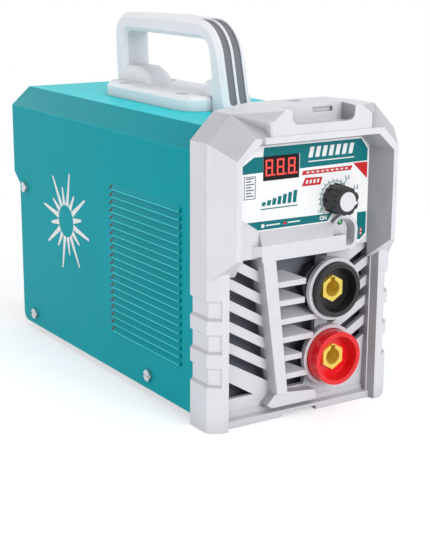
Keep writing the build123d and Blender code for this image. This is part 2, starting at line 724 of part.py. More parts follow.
def grille_plate():
    """Leaning plate with slanted slots on both sides and an open middle."""
    wall_in = HALF - PILLAR_IN - PILLAR_STRIP - PILLAR_SPLAY
    top = PANEL_LOW + 6
    section = (
        (grille_front(top), top),
        (grille_front(GRILLE_FOOT), GRILLE_FOOT),
        (grille_front(GRILLE_FOOT) + GRILLE_THICK, GRILLE_FOOT),
        (grille_front(top) + GRILLE_THICK, top),
    )
    plate = prism(section, "X", -wall_in - 1, wall_in + 1)
    slope = tan(radians(GAP_SLOPE))
    for step in range(GAP_COUNT):
        low = GAP_FIRST + step * GAP_PITCH
        middle_z = low - slope * (GAP_OUTER + bar_edge(0, low)) + GAP_TALL / 2
        plate -= mirror(diagonal_gap(low, GAP_TALL, -bar_edge(0, middle_z) - 2), Plane.YZ)
    top_gap = GAP_FIRST + GAP_COUNT * GAP_PITCH
    plate -= mirror(diagonal_gap(top_gap, GAP_TALL, -BAR_TOP[0] - 4, GAP_TOP_END), Plane.YZ)
    point_x, point_z = GAP_CORNER
    corner = ((-GAP_OUTER, point_z), (-GAP_OUTER, TONGUE_TOP), (point_x, TONGUE_TOP))
    plate -= prism(corner, "Y", PILLAR_FRONT, BEZEL_DEPTH)
    for step, inner_x in enumerate(GAP_ENDS):
        plate -= diagonal_gap(GAP_FIRST + step * GAP_PITCH, GAP_TALL, inner_x)
    step_x, step_low, step_high = WEB_STEP
    middle = (
        (bar_edge(0, BAND_LOW) + 3, BAND_LOW),
        (WEB_RIGHT, BAND_LOW),
        (WEB_RIGHT, SOCKET_Z[1]),
        (step_x, step_high),
        (step_x, step_low),
        (WEB_FOOT[0], SOCKET_Z[0]),
        (WEB_FOOT[1], TONGUE_TOP),
        (bar_edge(0, TONGUE_TOP) + 3, TONGUE_TOP),
    )
    return plate - prism(middle, "Y", PILLAR_FRONT, BEZEL_DEPTH)


def grille_louvres():
    """Deep horizontal louvres that run from the leaning bar and end on a slant."""
    louvres = []
    for step in range(LOUVRE_COUNT):
        top = LOUVRE_TOP - step * LOUVRE_PITCH
        front = LOUVRE_FRONT
        back = front + LOUVRE_DEEP
        section = (
            (front, top - LOUVRE_THICK),
            (front, top),
            (back, top + LOUVRE_RISE),
            (back, top + LOUVRE_RISE - LOUVRE_THICK),
        )
        left = (bar_edge(0, top) + bar_edge(1, top)) / 2
        tip = LOUVRE_TIPS[step % len(LOUVRE_TIPS)]
        body = prism(section, "X", left, tip)
        end = ((tip + 1, front - 1), (tip + 1, back + 1), (tip - LOUVRE_DEEP * 0.8, back + 1))
        louvres.append(body - prism(end, "Z", top - 2 * LOUVRE_THICK, top + 3 * LOUVRE_THICK))
    return louvres


def ring_bosses():
    """Rings round the cups: free-standing lips on the left, full-depth sleeves on the right."""
    outer = CUP_R + BOSS_WALL
    open_side = SOCKET_X - BOSS_OPEN
    rings = []
    for which, (z, face) in enumerate(zip(SOCKET_Z, SOCKET_BOSS)):
        sleeve = bar("Y", SOCKET_X, z, outer, face, BOSS_BACK, CUP_SIDES)
        sleeve -= block(open_side - 2 * outer, open_side, face + BOSS_LIP, BOSS_BACK + 1,
                        z - outer, z + outer)
        seat = bar("Y", SOCKET_X, z, BOSS_SEAT_R, socket_seat(which), BOSS_BACK, BOSS_SIDES)
        rings += [sleeve, seat]
    return rings


def ring_bores():
    """Counterbores for the cups and clearance holes for their necks."""
    bores = []
    for which, (z, rim) in enumerate(zip(SOCKET_Z, SOCKET_RIM)):
        bores.append(hole("Y", SOCKET_X, z, CUP_R + FIT, rim - 1, socket_seat(which), CUP_SIDES))
        bores.append(hole("Y", SOCKET_X, z, NECK_R + FIT, rim, BOSS_BACK + 1, BOSS_SIDES))
    return bores


def lamp_outline(shrink):
    """Outline round the lamp and the smaller round below it, drawn in by shrink at the lamp."""
    share = shrink / LAMP_R
    tip_x = LAMP_TIP_X + share * (LAMP_X - LAMP_TIP_X)
    tip_z = LAMP_TIP_Z + share * (LAMP_Z - LAMP_TIP_Z)
    rounds = ((LAMP_X, LAMP_Z, LAMP_R - shrink), (tip_x, tip_z, LAMP_TIP_R * (1 - share)))
    points = []
    for step in range(LAMP_SIDES):
        out_x, out_z = cos(2 * pi * step / LAMP_SIDES), sin(2 * pi * step / LAMP_SIDES)
        x, z, radius = max(rounds, key=lambda item: item[0] * out_x + item[1] * out_z + item[2])
        points.append((x + radius * out_x, z + radius * out_z))
    return points


def lamp_arch():
    """Raised wall round the lamp recess; it dies into the sill on the left."""
    arch = Polygon(*lamp_outline(0), align=None)
    arch -= Pos(LAMP_X - LAMP_R, SILL_TOP - LAMP_R) * Rectangle(2 * (LAMP_R - LAMP_RELIEF), 2 * LAMP_R)
    return sweep_flat(arch, "Y", LAMP_FRONT, PANEL_BACK)


def lamp_recess():
    dish = LAMP_WALL + (LAMP_FLOOR - LAMP_FRONT) * LAMP_SPLAY
    return span(lamp_outline(LAMP_WALL), lamp_outline(dish), "Y", LAMP_FRONT, LAMP_FLOOR)


def sill():
    """Sloping sill under the label, with a gusset at its left end."""
    slope = (
        (PANEL_SETBACK, SILL_TOP),
        (BAND_FRONT, BAND_TOP),
        (PANEL_BACK, BAND_TOP),
        (PANEL_BACK, SILL_TOP),
    )
    return prism(slope, "X", SILL_LEFT, BAND_END)


def band():
    """Flat band that runs on below the sill and ends inside the lamp recess."""
    back = GRILLE_TOP_SET + GRILLE_THICK
    strip = block(SILL_LEFT, BAND_END, BAND_FRONT, back, BAND_LOW, BAND_TOP)
    gusset = ((SILL_LEFT, BAND_FRONT), (SILL_LEFT - 8, GRILLE_TOP_SET), (SILL_LEFT, PANEL_BACK))
    return strip + prism(gusset, "Z", BAND_LOW + 3, BAND_TOP)


def bars():
    """The leaning bar, the tongue at its foot and the bottom rail."""
    lean = (
        (BAR_TOP[0], BAND_TOP - 1),
        (BAR_TOP[0], BAND_LOW),
        (BAR_FOOT[0], BAR_FOOT_Z),
        (BAR_FOOT[1], BAR_FOOT_Z),
        (BAR_TOP[1], BAND_LOW),
        (BAR_TOP[1], BAND_TOP - 1),
    )
    back = grille_front(0) + GRILLE_THICK
    body = prism(lean, "Y", BAND_FRONT, back)
    tongue = (
        (BAR_FOOT[0], TONGUE_TOP),
        (BAR_FOOT[0] - TONGUE_WING, TONGUE_LOW + 2),
        (BAR_FOOT[0] - TONGUE_WING + 4, TONGUE_LOW),
        (TONGUE_RIGHT + 1.5, TONGUE_LOW),
        (TONGUE_RIGHT, TONGUE_TOP - 2),
        (BAR_FOOT[1], TONGUE_TOP),
    )
    body += prism(tongue, "Y", TONGUE_FRONT, back)
    inner = HALF - PILLAR_IN - PILLAR_STRIP - PILLAR_SPLAY
    body += block(-inner - 1, inner + 1, SIDE_START - 1, back, 0, BEZEL_FLOOR)
    return body + block(-inner - 1, inner + 1, back - GRILLE_THICK - 1, back, 0, GRILLE_FOOT + 1)


def front_bezel():
    body = prism(bezel_section(), "Y", SIDE_START, BEZEL_DEPTH)
    body += shoulders()
    body -= recess()
    body += bumper()
    body -= prism(cover_section(FIT, BEZEL_FLOOR), "Y", PANEL_BACK, BEZEL_DEPTH + 1)
    body -= both_sides(shoulder_hollow())
    opening_half = HALF - PILLAR_IN - PILLAR_STRIP - PILLAR_SPLAY
    body -= block(-opening_half, opening_half, SIDE_START - 1, PANEL_BACK + 1, BEZEL_FLOOR, PANEL_LOW)
    body += both_sides(pillar())
    body += grille_plate()
    body += sill()
    body += lamp_arch()
    body -= lamp_recess()
    body += band()
    body += bars()
    body += grille_louvres()
    body += ring_bosses()
    body -= pocket()
    body -= ring_bores()
    for step in range(FLUTE_COUNT):
        body -= both_sides(flute_cutter(FLUTE_FIRST + step * FLUTE_PITCH))
    body -= block(NOTCH_LEFT, TONGUE_RIGHT + 2, PILLAR_FRONT, BEZEL_DEPTH + 1, -1, NOTCH_LIFT)
    body -= block(DISPLAY_X[0], DISPLAY_X[1], PANEL_SETBACK - 1, PANEL_BACK + 1, *DISPLAY_Z)
    body -= hole("Y", KNOB_X, KNOB_Z, BUSHING_R + FIT, PANEL_SETBACK - 1, PANEL_BACK + 1, BOSS_SIDES)
    body -= hole("Y", LED_X, LED_Z, LED_R + BEARING_GAP, LAMP_FRONT, PANEL_BACK + 1, BOSS_SIDES)
    screw_y = BEZEL_DEPTH - TOP_SCREW_INSET
    seat = BUMPER_Z - TOP_SCREW_SINK
    body -= hole("Z", 0, screw_y, SCREW_HEAD_R + FIT, seat, BUMPER_Z + 1, BOSS_SIDES)
    return body - hole("Z", 0, screw_y, SCREW_SHANK_R + SCREW_GAP, COVER_TOP, BUMPER_Z)


# ---- sockets ----------------------------------------------------------------------------------
def socket_seat(which):
    return SOCKET_RIM[which] + CUP_DEEP + CUP_SEAT


def socket_shell(which):
    """Insulated cup with a neck that passes through the bezel."""
    z, rim = SOCKET_Z[which], SOCKET_RIM[which]
    seat = socket_seat(which)
    shell = bar("Y", SOCKET_X, z, CUP_R, rim, seat, CUP_SIDES)
    shell += bar("Y", SOCKET_X, z, NECK_R, seat, seat + NECK_LONG, BOSS_SIDES)
    shell -= bar("Y", SOCKET_X, z, CUP_R - CUP_WALL, rim - 1, rim + CUP_DEEP, CUP_SIDES)
    return shell - hexagon("Y", SOCKET_X, z, INSERT_AF, rim, seat + NECK_LONG + 1, 30)


def socket_insert(which):
    """Brass hexagon with the plug's bore, its keyway and a stud at the back."""
    z = SOCKET_Z[which]
    front = SOCKET_RIM[which] + INSERT_SET
    back = front + INSERT_LONG
    insert = hexagon("Y", SOCKET_X, z, INSERT_AF, front, back, 30)
    insert += bar("Y", SOCKET_X, z, STUD_R, back, back + STUD_LONG, BOSS_SIDES)
    insert -= rod("Y", SOCKET_X, z, PLUG_BORE_R, front - 1, front + PLUG_BORE_LONG)
    wide, reach = KEYWAY
    return insert - block(SOCKET_X - wide / 2, SOCKET_X + wide / 2, front - 1, front + PLUG_BORE_LONG,
                          z, z + reach)


def socket_nut(which):
    z = SOCKET_Z[which]
    nut = hexagon("Y", SOCKET_X, z, SOCKET_NUT_AF, BOSS_BACK, BOSS_BACK + SOCKET_NUT_THICK)
    return nut - hole("Y", SOCKET_X, z, NECK_R + BEARING_GAP, BOSS_BACK - 1,
                      BOSS_BACK + SOCKET_NUT_THICK + 1, BOSS_SIDES)


# ---- control panel pieces ---------------------------------------------------------------------
BOARD_FRONT = PANEL_BACK + BOARD_GAP
BUSHING_FRONT = PANEL_SETBACK + FIT
KNOB_BACK = PANEL_SETBACK - LABEL_THICK - TURN_GAP
KNOB_FRONT = KNOB_BACK - KNOB_LONG
POT_FRONT = BOARD_FRONT - POT_DEEP / 2
SHAFT_END = BOARD_FRONT - 1.5
CONTROL_BOARD_LOW = BAND_TOP + 1
DIGIT_BACK = PANEL_SETBACK - LABEL_THICK + FIT
DIGIT_FRONT = DIGIT_BACK - FIT / 2


def label_overlay():
    top_in, top_fall = LABEL_CORNER
    low_in, low_rise = LABEL_LOW_CORNER
    edge = PANEL_HALF - LABEL_MARGIN
    low = PANEL_LOW + LABEL_MARGIN
    foot_in, foot_rise = LABEL_FOOT
    outline = (
        (edge, low + foot_rise),
        (edge, LABEL_TOP - top_fall),
        (edge - top_in, LABEL_TOP),
        (top_in - edge, LABEL_TOP),
        (-edge, LABEL_TOP - top_fall),
        (-edge, SILL_TOP + low_rise),
        (low_in - edge, SILL_TOP),
        (LAMP_X, SILL_TOP),
        (LAMP_TIP_X, low),
        (edge - foot_in, low),
    )
    front = PANEL_SETBACK - LABEL_THICK
    sheet = prism(outline, "Y", front, PANEL_SETBACK)
    sheet -= prism(lamp_outline(-FIT), "Y", front - 1, PANEL_SETBACK + 1)
    sheet -= block(*DISPLAY_X, front - 1, PANEL_SETBACK + 1, *DISPLAY_Z)
    return sheet - hole("Y", KNOB_X, KNOB_Z, BUSHING_R + FIT, front - 1, PANEL_SETBACK + 1, BOSS_SIDES)


def display_module():
    left, right = DISPLAY_X
    low, high = DISPLAY_Z
    return block(left + FIT, right - FIT, DIGIT_BACK, BOARD_FRONT, low + FIT, high - FIT)


def digit(x, z):
    """Seven lit bars and a point, centred on x and z."""
    half_wide, half_tall, stroke = DIGIT_WIDE / 2, DIGIT_TALL / 2, DIGIT_STROKE
    gap = DIGIT_GAP
    bars = []
    for level in (-half_tall + stroke / 2, 0, half_tall - stroke / 2):
        bars.append(block(x - half_wide + stroke + gap, x + half_wide - stroke - gap,
                          DIGIT_FRONT, DIGIT_BACK, z + level - stroke / 2, z + level + stroke / 2))
    for side in (-1, 1):
        inner, outer = side * (half_wide - stroke), side * half_wide
        for low, high in ((-half_tall, -gap), (gap, half_tall)):
            bars.append(block(x + min(inner, outer), x + max(inner, outer),
                              DIGIT_FRONT, DIGIT_BACK, z + low, z + high))
    point_x = x + half_wide + stroke / 2
    bars.append(block(point_x, point_x + stroke, DIGIT_FRONT, DIGIT_BACK,
                      z - half_tall, z - half_tall + stroke))
    return bars


def display_digits():
    middle_x = sum(DISPLAY_X) / 2
    middle_z = sum(DISPLAY_Z) / 2
    bars = []
    for step in range(DIGIT_COUNT):
        bars += digit(middle_x + (step - (DIGIT_COUNT - 1) / 2) * DIGIT_PITCH - DIGIT_STROKE / 2, middle_z)
    return all_of(bars)


def control_board():
    half = PANEL_HALF - BOARD_INSET
    return block(-half, half, BOARD_FRONT, BOARD_FRONT + BOARD_THICK, CONTROL_BOARD_LOW, LABEL_TOP - 2)


def board_spacers():
    x = PANEL_HALF - BOARD_INSET - STANDOFF_AF / 2 - 1
    rows = (CONTROL_BOARD_LOW + STANDOFF_AF, LABEL_TOP - 2 - STANDOFF_AF)
    spots = [(side * x, z) for z in rows for side in (-1, 1)]
    return all_of([hexagon("Y", x, z, STANDOFF_AF, PANEL_BACK, BOARD_FRONT) for x, z in spots])


def potentiometer():
    body = bar("Y", KNOB_X, KNOB_Z, POT_R, POT_FRONT, BOARD_FRONT, BOSS_SIDES)
    body += bar("Y", KNOB_X, KNOB_Z, BUSHING_R, BUSHING_FRONT, POT_FRONT, BOSS_SIDES)
    return body - rod("Y", KNOB_X, KNOB_Z, SHAFT_R + BEARING_GAP, BUSHING_FRONT - 1, SHAFT_END + FIT)


def pot_shaft():
    return rod("Y", KNOB_X, KNOB_Z, SHAFT_R, KNOB_FRONT + KNOB_CAP_TALL + 2, SHAFT_END)


def ring_of_points(count, radius_at):
    """Points evenly round the knob's axis; radius_at gives each one's distance from it."""
    turns = [2 * pi * step / count for step in range(count)]
    return [(KNOB_X + radius_at(step) * cos(turn), KNOB_Z + radius_at(step) * sin(turn))
            for step, turn in enumerate(turns)]


def lobed_outline(radius):
    """Four points to a lobe, the first of them in the hollow beside it."""
    return ring_of_points(4 * KNOB_LOBES, lambda step: radius - (0 if step % 4 else LOBE_DEEP))


def knob_body():
    """Lobed current knob on a toothed skirt, with a shallow seat for its cap."""
    skirt_front = KNOB_BACK - SKIRT_TALL
    body = span(lobed_outline(KNOB_FRONT_R), lobed_outline(KNOB_BODY_R), "Y", KNOB_FRONT, skirt_front)
    teeth = ring_of_points(2 * KNOB_TEETH, lambda step: KNOB_R - step % 2 * LOBE_DEEP)
    body += prism(teeth, "Y", skirt_front, KNOB_BACK)
    body -= bar("Y", KNOB_X, KNOB_Z, KNOB_CAP_R, KNOB_FRONT - 1, KNOB_FRONT + KNOB_CAP_TALL, DISC_SIDES)
    body -= hole("Y", KNOB_X, KNOB_Z, SHAFT_R, KNOB_FRONT + KNOB_CAP_TALL + 2, KNOB_BACK + 1, BOSS_SIDES)
    return body - knob_pointer()


def knob_pointer():
    """Inlaid index mark that runs out from the cap to the knob's edge."""
    root, tip = 2 * POINTER_TIP, POINTER_TIP / 2
    reach = KNOB_FRONT_R - POINTER_TIP
    mark = Polygon((KNOB_CAP_R, -root), (reach, -tip), (reach, tip), (KNOB_CAP_R, root), align=None)
    placed = Pos(KNOB_X, KNOB_Z) * Rot(0, 0, POINTER_ANGLE) * mark
    return sweep_flat(placed, "Y", KNOB_FRONT, KNOB_FRONT + KNOB_CAP_TALL)


def knob_cap():
    front, back = KNOB_FRONT - KNOB_CAP_PROUD, KNOB_FRONT + KNOB_CAP_TALL
    return bar("Y", KNOB_X, KNOB_Z, KNOB_CAP_R, front, back, DISC_SIDES)


def power_led():
    front = LAMP_FLOOR - LED_PROUD
    return bar("Y", LED_X, LED_Z, LED_R, front, BOARD_FRONT, BOSS_SIDES)


# ---- cover, tray and rear panel ---------------------------------------------------------------
def screw(axis, a, b, seat, way, long=SCREW_LONG):
    """Pan-head screw; its head stands on seat and its shank points along way (-1 or 1)."""
    top = seat - way * SCREW_HEAD_TALL
    body = bar(axis, a, b, SCREW_HEAD_R, *sorted((seat, top)), BOSS_SIDES)
    body += bar(axis, a, b, SCREW_SHANK_R, *sorted((seat, seat + way * long)), 6)
    slot = Pos(a, b) * Rectangle(3 * SCREW_HEAD_R, SCREW_SLOT)
    return body - sweep_flat(slot, axis, *sorted((top - way, top + way * SCREW_SLOT)))


def side_louvre(z):
    """Outward flap of one cover louvre on the right-hand side."""
    outer, top = COVER_HALF, z + SIDE_LOUVRE_TALL
    flap = (
        (outer - SIDE_LOUVRE_SKIN / 3, top),
        (outer, top + SIDE_LOUVRE_SKIN),
        (outer + SIDE_LOUVRE_PROUD, z),
        (outer + SIDE_LOUVRE_PROUD - SIDE_LOUVRE_SKIN, z),
    )
    return prism(flap, "Y", LOUVRE_START, LOUVRE_START + SIDE_LOUVRE_LONG)


def cover():
    outside = prism(cover_section(0, COVER_BOTTOM), "Y", COVER_START, HOOD_REAR)
    body = outside - prism(cover_section(-SHEET, COVER_BOTTOM - 1), "Y", COVER_START - 1, HOOD_REAR + 1)
    corner = COVER_CORNER
    lower_rear = (
        (COVER_REAR - corner, COVER_BOTTOM - 1),
        (COVER_REAR - corner, COVER_BOTTOM),
        (COVER_REAR - corner * 0.3, COVER_BOTTOM + corner * 0.3),
        (COVER_REAR, COVER_BOTTOM + corner),
        (COVER_REAR, HOOD_LOW),
        (HOOD_REAR, HOOD_LOW + HOOD_SLANT),
        (HOOD_REAR + 1, HOOD_LOW + HOOD_SLANT),
        (HOOD_REAR + 1, COVER_BOTTOM - 1),
    )
    body -= prism(lower_rear, "X", -HALF, HALF)
    end = LOUVRE_START + SIDE_LOUVRE_LONG
    slots, flaps = [], []
    for step in range(SIDE_LOUVRE_COUNT):
        z = SIDE_LOUVRE_LOW + step * SIDE_LOUVRE_PITCH
        flaps.append(side_louvre(z))
        for side in (-1, 1):
            slots.append(block(side * (COVER_HALF - 2), side * (COVER_HALF + 0.5), LOUVRE_START, end,
                               z, z + SIDE_LOUVRE_TALL))
    body -= slots
    flaps += [mirror(flap, Plane.YZ) for flap in flaps]
    body += flaps
    for y, z in COVER_SCREWS:
        body -= hole("X", y, z, SCREW_SHANK_R + SCREW_GAP, -HALF, HALF)
    for x, y in (*HANDLE_BOLTS, (0, BEZEL_DEPTH - TOP_SCREW_INSET)):
        body -= hole("Z", x, y, SCREW_SHANK_R + SCREW_GAP, COVER_TOP - 2, COVER_TOP + 1)
    return body


BOLT_ROWS = (FOOT_PLATE_FRONT + HANDLE_BOLT_INSET[0], FOOT_PLATE_REAR - HANDLE_BOLT_INSET[1])
HANDLE_BOLTS = [(x, y) for y in BOLT_ROWS for x in (-HANDLE_BOLT_X, HANDLE_BOLT_X)]
TRAY_HALF = INNER_HALF - FIT
TRAY_REAR = REAR_IN - FIT


def base_plate():
    """Base tray with upturned sides that the cover's screws reach."""
    tray = block(-TRAY_HALF, TRAY_HALF, COVER_START, TRAY_REAR, COVER_BOTTOM, TRAY_TOP)
    side_start = COVER_START + TRAY_SIDE_SETBACK
    for side in (-1, 1):
        tray += block(side * (TRAY_HALF - SHEET), side * TRAY_HALF, side_start, TRAY_REAR,
                      COVER_BOTTOM, COVER_BOTTOM + TRAY_SIDE)
    for y, z in COVER_SCREWS[:2]:
        tray -= hole("X", y, z, SCREW_SHANK_R + SCREW_GAP, -HALF, HALF)
    return tray


def rear_feet():
    x, y = COVER_HALF - FOOT_SPOT[0], COVER_REAR - FOOT_SPOT[1]
    return all_of([taper("Z", side * x, y, FOOT_R - FOOT_TAPER, FOOT_R, 0, COVER_BOTTOM, BOSS_SIDES)
                   for side in (-1, 1)])


def rear_panel():
    """Rear sheet with side flanges and its fan, switch and cord openings."""
    body = prism(cover_section(-SHEET - FIT, TRAY_TOP), "Y", REAR_IN, REAR_OUT)
    flange_out = INNER_HALF - FIT
    for side in (-1, 1):
        body += block(side * (flange_out - REAR_THICK), side * flange_out, REAR_IN - FLANGE_DEEP, REAR_OUT,
                      *FLANGE_Z)
    body -= hole("Y", 0, FAN_Z, FAN_BORE_R, REAR_IN - 1, REAR_OUT + 1, DISC_SIDES)
    for x, z in fan_corners():
        body -= hole("Y", x, z, SCREW_SHANK_R + SCREW_GAP, REAR_IN - 1, REAR_OUT + 1)
    wide, tall, _ = SWITCH_BODY
    body -= block(SWITCH_X - wide / 2 - FIT, SWITCH_X + wide / 2 + FIT, REAR_IN - 1, REAR_OUT + 1,
                  SWITCH_Z - tall / 2 - FIT, SWITCH_Z + tall / 2 + FIT)
    body -= hole("Y", GLAND_X, GLAND_Z, GLAND_THREAD_R + FIT, REAR_IN - 1, REAR_OUT + 1, BOSS_SIDES)
    y, z = COVER_SCREWS[2]
    return body - hole("X", y, z, SCREW_SHANK_R + SCREW_GAP, -HALF, HALF)


def cover_screws():
    screws = []
    for y, z in COVER_SCREWS:
        screws.append(screw("X", y, z, COVER_HALF, -1))
        screws.append(screw("X", y, z, -COVER_HALF, 1))
    return all_of(screws)


def bezel_top_screw():
    return screw("Z", 0, BEZEL_DEPTH - TOP_SCREW_INSET, BUMPER_Z - TOP_SCREW_SINK, -1)


# ---- fan --------------------------------------------------------------------------------------
FAN_BACK = REAR_IN
FAN_FRONT = FAN_BACK - FAN_DEEP
def fan_corners():
    half = FAN_HOLES / 2
    return [(x, FAN_Z + z) for x in (-half, half) for z in (-half, half)]


def fan_frame():
    half = FAN_SIZE / 2
    frame = block(-half, half, FAN_FRONT, FAN_BACK, FAN_Z - half, FAN_Z + half)
    frame -= hole("Y", 0, FAN_Z, FAN_BORE_R, FAN_FRONT - 1, FAN_BACK + 1, DISC_SIDES)
    frame += bar("Y", 0, FAN_Z, FAN_HUB_R, FAN_FRONT, FAN_FRONT + FAN_PLATE, DISC_SIDES)
    for turn in (45, 135):
        strut = Rot(0, 0, turn) * Rectangle(2 * FAN_BORE_R + 1, FAN_STRUT)
        frame += sweep_flat(Pos(0, FAN_Z) * strut, "Y", FAN_FRONT, FAN_FRONT + FAN_PLATE)
    for x, z in fan_corners():
        frame -= hole("Y", x, z, SCREW_SHANK_R + SCREW_GAP, FAN_FRONT - 1, FAN_BACK + 1)
    return frame - rod("Y", 0, FAN_Z, FAN_SHAFT_R + BEARING_GAP, FAN_FRONT - 1, FAN_BACK)


def blade(turn):
    """One cambered blade, its root inside the hub."""
    half = BLADE_WIDE / 2
    section = Polygon(
        (-half, 0), (0, BLADE_CAMBER), (half, 0),
        (half, BLADE_THICK), (0, BLADE_CAMBER + BLADE_THICK), (-half, BLADE_THICK),
        align=None,
    )
    middle = FAN_FRONT + FAN_PLATE + TURN_GAP + HUB_TALL / 2
    root = Plane((0, middle, FAN_Z + FAN_HUB_R - 2), x_dir=(1, 0, 0), z_dir=(0, 0, 1))
    solid = extrude(root * Rot(0, 0, BLADE_PITCH) * section, BLADE_R - FAN_HUB_R + 2, dir=(0, 0, 1))
    return solid.rotate(Axis((0, 0, FAN_Z), (0, 1, 0)), turn)


def fan_rotor():
    low = FAN_FRONT + FAN_PLATE + TURN_GAP
    rotor = bar("Y", 0, FAN_Z, FAN_HUB_R, low, low + HUB_TALL, DISC_SIDES)
    rotor += [blade(360 / BLADE_COUNT * step) for step in range(BLADE_COUNT)]
    return rotor + rod("Y", 0, FAN_Z, FAN_SHAFT_R, FAN_FRONT + 0.5, low)


def fan_guard():
    """Flat finger guard: concentric rings, four spokes and four screw lugs."""
    low, high = REAR_OUT, REAR_OUT + GUARD_WIRE
    inner = FAN_HUB_R / 2
    pitch = (FAN_BORE_R - inner) / (GUARD_RINGS - 1)
    guard = Rot(0, 0, 45) * Rectangle(FAN_HOLES * sqrt(2), 2 * GUARD_WIRE)
    guard += Rot(0, 0, 135) * Rectangle(FAN_HOLES * sqrt(2), 2 * GUARD_WIRE)
    for step in range(GUARD_RINGS):
        outer = inner + step * pitch + GUARD_WIRE
        guard += RegularPolygon(outer, GUARD_SIDES) - RegularPolygon(outer - GUARD_WIRE, GUARD_SIDES)
    guard -= RegularPolygon(inner, GUARD_SIDES)
    lug = RegularPolygon(GUARD_LUG_R, BOSS_SIDES)
    drill = RegularPolygon((SCREW_SHANK_R + SCREW_GAP) / cos(pi / DRILL_SIDES), DRILL_SIDES)
    for x, z in fan_corners():
        guard += Pos(x, z - FAN_Z) * lug
        guard -= Pos(x, z - FAN_Z) * drill
    return sweep_flat(Pos(0, FAN_Z) * guard, "Y", low, high)


def fan_screws():
    seat = REAR_OUT + GUARD_WIRE
    return all_of([screw("Y", x, z, seat, -1) for x, z in fan_corners()])


# ---- power switch and cord gland --------------------------------------------------------------
SWITCH_FACE = REAR_OUT + SWITCH_FLANGE
ROCKER_PIVOT = REAR_OUT - ROCKER_SINK
ROCKER_ROOM = ROCKER_R + TURN_GAP


def switch_housing():
    wide, tall, deep = SWITCH_BODY
    body = block(SWITCH_X - SWITCH_WIDE / 2, SWITCH_X + SWITCH_WIDE / 2, REAR_OUT, SWITCH_FACE,
                 SWITCH_Z - SWITCH_TALL / 2, SWITCH_Z + SWITCH_TALL / 2)
    body += block(SWITCH_X - wide / 2, SWITCH_X + wide / 2, REAR_IN - deep, REAR_OUT,
                  SWITCH_Z - tall / 2, SWITCH_Z + tall / 2)
    room = ROCKER_WIDE / 2 + TURN_GAP
    body -= block(SWITCH_X - room, SWITCH_X + room, ROCKER_PIVOT - ROCKER_WELL, SWITCH_FACE + 1,
                  SWITCH_Z - ROCKER_ROOM, SWITCH_Z + ROCKER_ROOM)
    pins = ROCKER_WIDE / 2 + ROCKER_PIN_LONG + FIT
    body -= rod("X", ROCKER_PIVOT, SWITCH_Z, ROCKER_PIN_R + BEARING_GAP, SWITCH_X - pins, SWITCH_X + pins)
    thick, broad, long = SPADE
    for x in (SWITCH_X - SPADE_X, SWITCH_X + SPADE_X):
        body += block(x - thick / 2, x + thick / 2, REAR_IN - deep - long, REAR_IN - deep,
                      SWITCH_Z - broad / 2, SWITCH_Z + broad / 2)
    return body


def power_rocker():
    """Rocker paddle, modelled with its upper end pressed in."""
    half_tall, crown, dish = ROCKER_FACE
    back = [(y, z) for z, y in ROCKER_BACK]
    lower = [(crown, -half_tall), *[(y, -z) for y, z in back]]
    section = [(dish, 0), *lower, *reversed(back), (crown, half_tall)]
    flat = Rot(0, 0, ROCKER_TILT) * Polygon(*section, align=None)
    half = ROCKER_WIDE / 2
    placed = Pos(ROCKER_PIVOT, SWITCH_Z) * flat
    rocker = sweep_flat(placed, "X", SWITCH_X - half, SWITCH_X + half)
    reach = half + ROCKER_PIN_LONG
    return rocker + rod("X", ROCKER_PIVOT, SWITCH_Z, ROCKER_PIN_R, SWITCH_X - reach, SWITCH_X + reach)


def cable_gland():
    front = REAR_IN - GLAND_NUT_THICK - GLAND_THREAD_LONG
    hex_end = REAR_OUT + GLAND_HEX
    end = hex_end + GLAND_DOME
    body = bar("Y", GLAND_X, GLAND_Z, GLAND_THREAD_R, front, REAR_OUT, BOSS_SIDES)
    body += hexagon("Y", GLAND_X, GLAND_Z, GLAND_AF, REAR_OUT, hex_end)
    body += taper("Y", GLAND_X, GLAND_Z, GLAND_R, GLAND_R - GLAND_TAPER, hex_end, end, 2 * BOSS_SIDES)
    return body - rod("Y", GLAND_X, GLAND_Z, GLAND_BORE_R, front - 1, end + 1)


def gland_nut():
    low = REAR_IN - GLAND_NUT_THICK
    nut = hexagon("Y", GLAND_X, GLAND_Z, GLAND_AF, low, REAR_IN)
    return nut - hole("Y", GLAND_X, GLAND_Z, GLAND_THREAD_R + BEARING_GAP, low - 1, REAR_IN + 1, BOSS_SIDES)


# ---- handle -----------------------------------------------------------------------------------
FOOT_Z = HANDLE_SEAT + TOE_TALL
POST_SLOPE = HANDLE_LEAN / (HANDLE_TOP - NOSE_R - FOOT_Z)


def post_front(z, depth=0.0):
    """How far forward the front post's face is at a height, less a depth below its surface."""
    return HANDLE_FRONT - HANDLE_LEAN + POST_SLOPE * (z - FOOT_Z) + depth


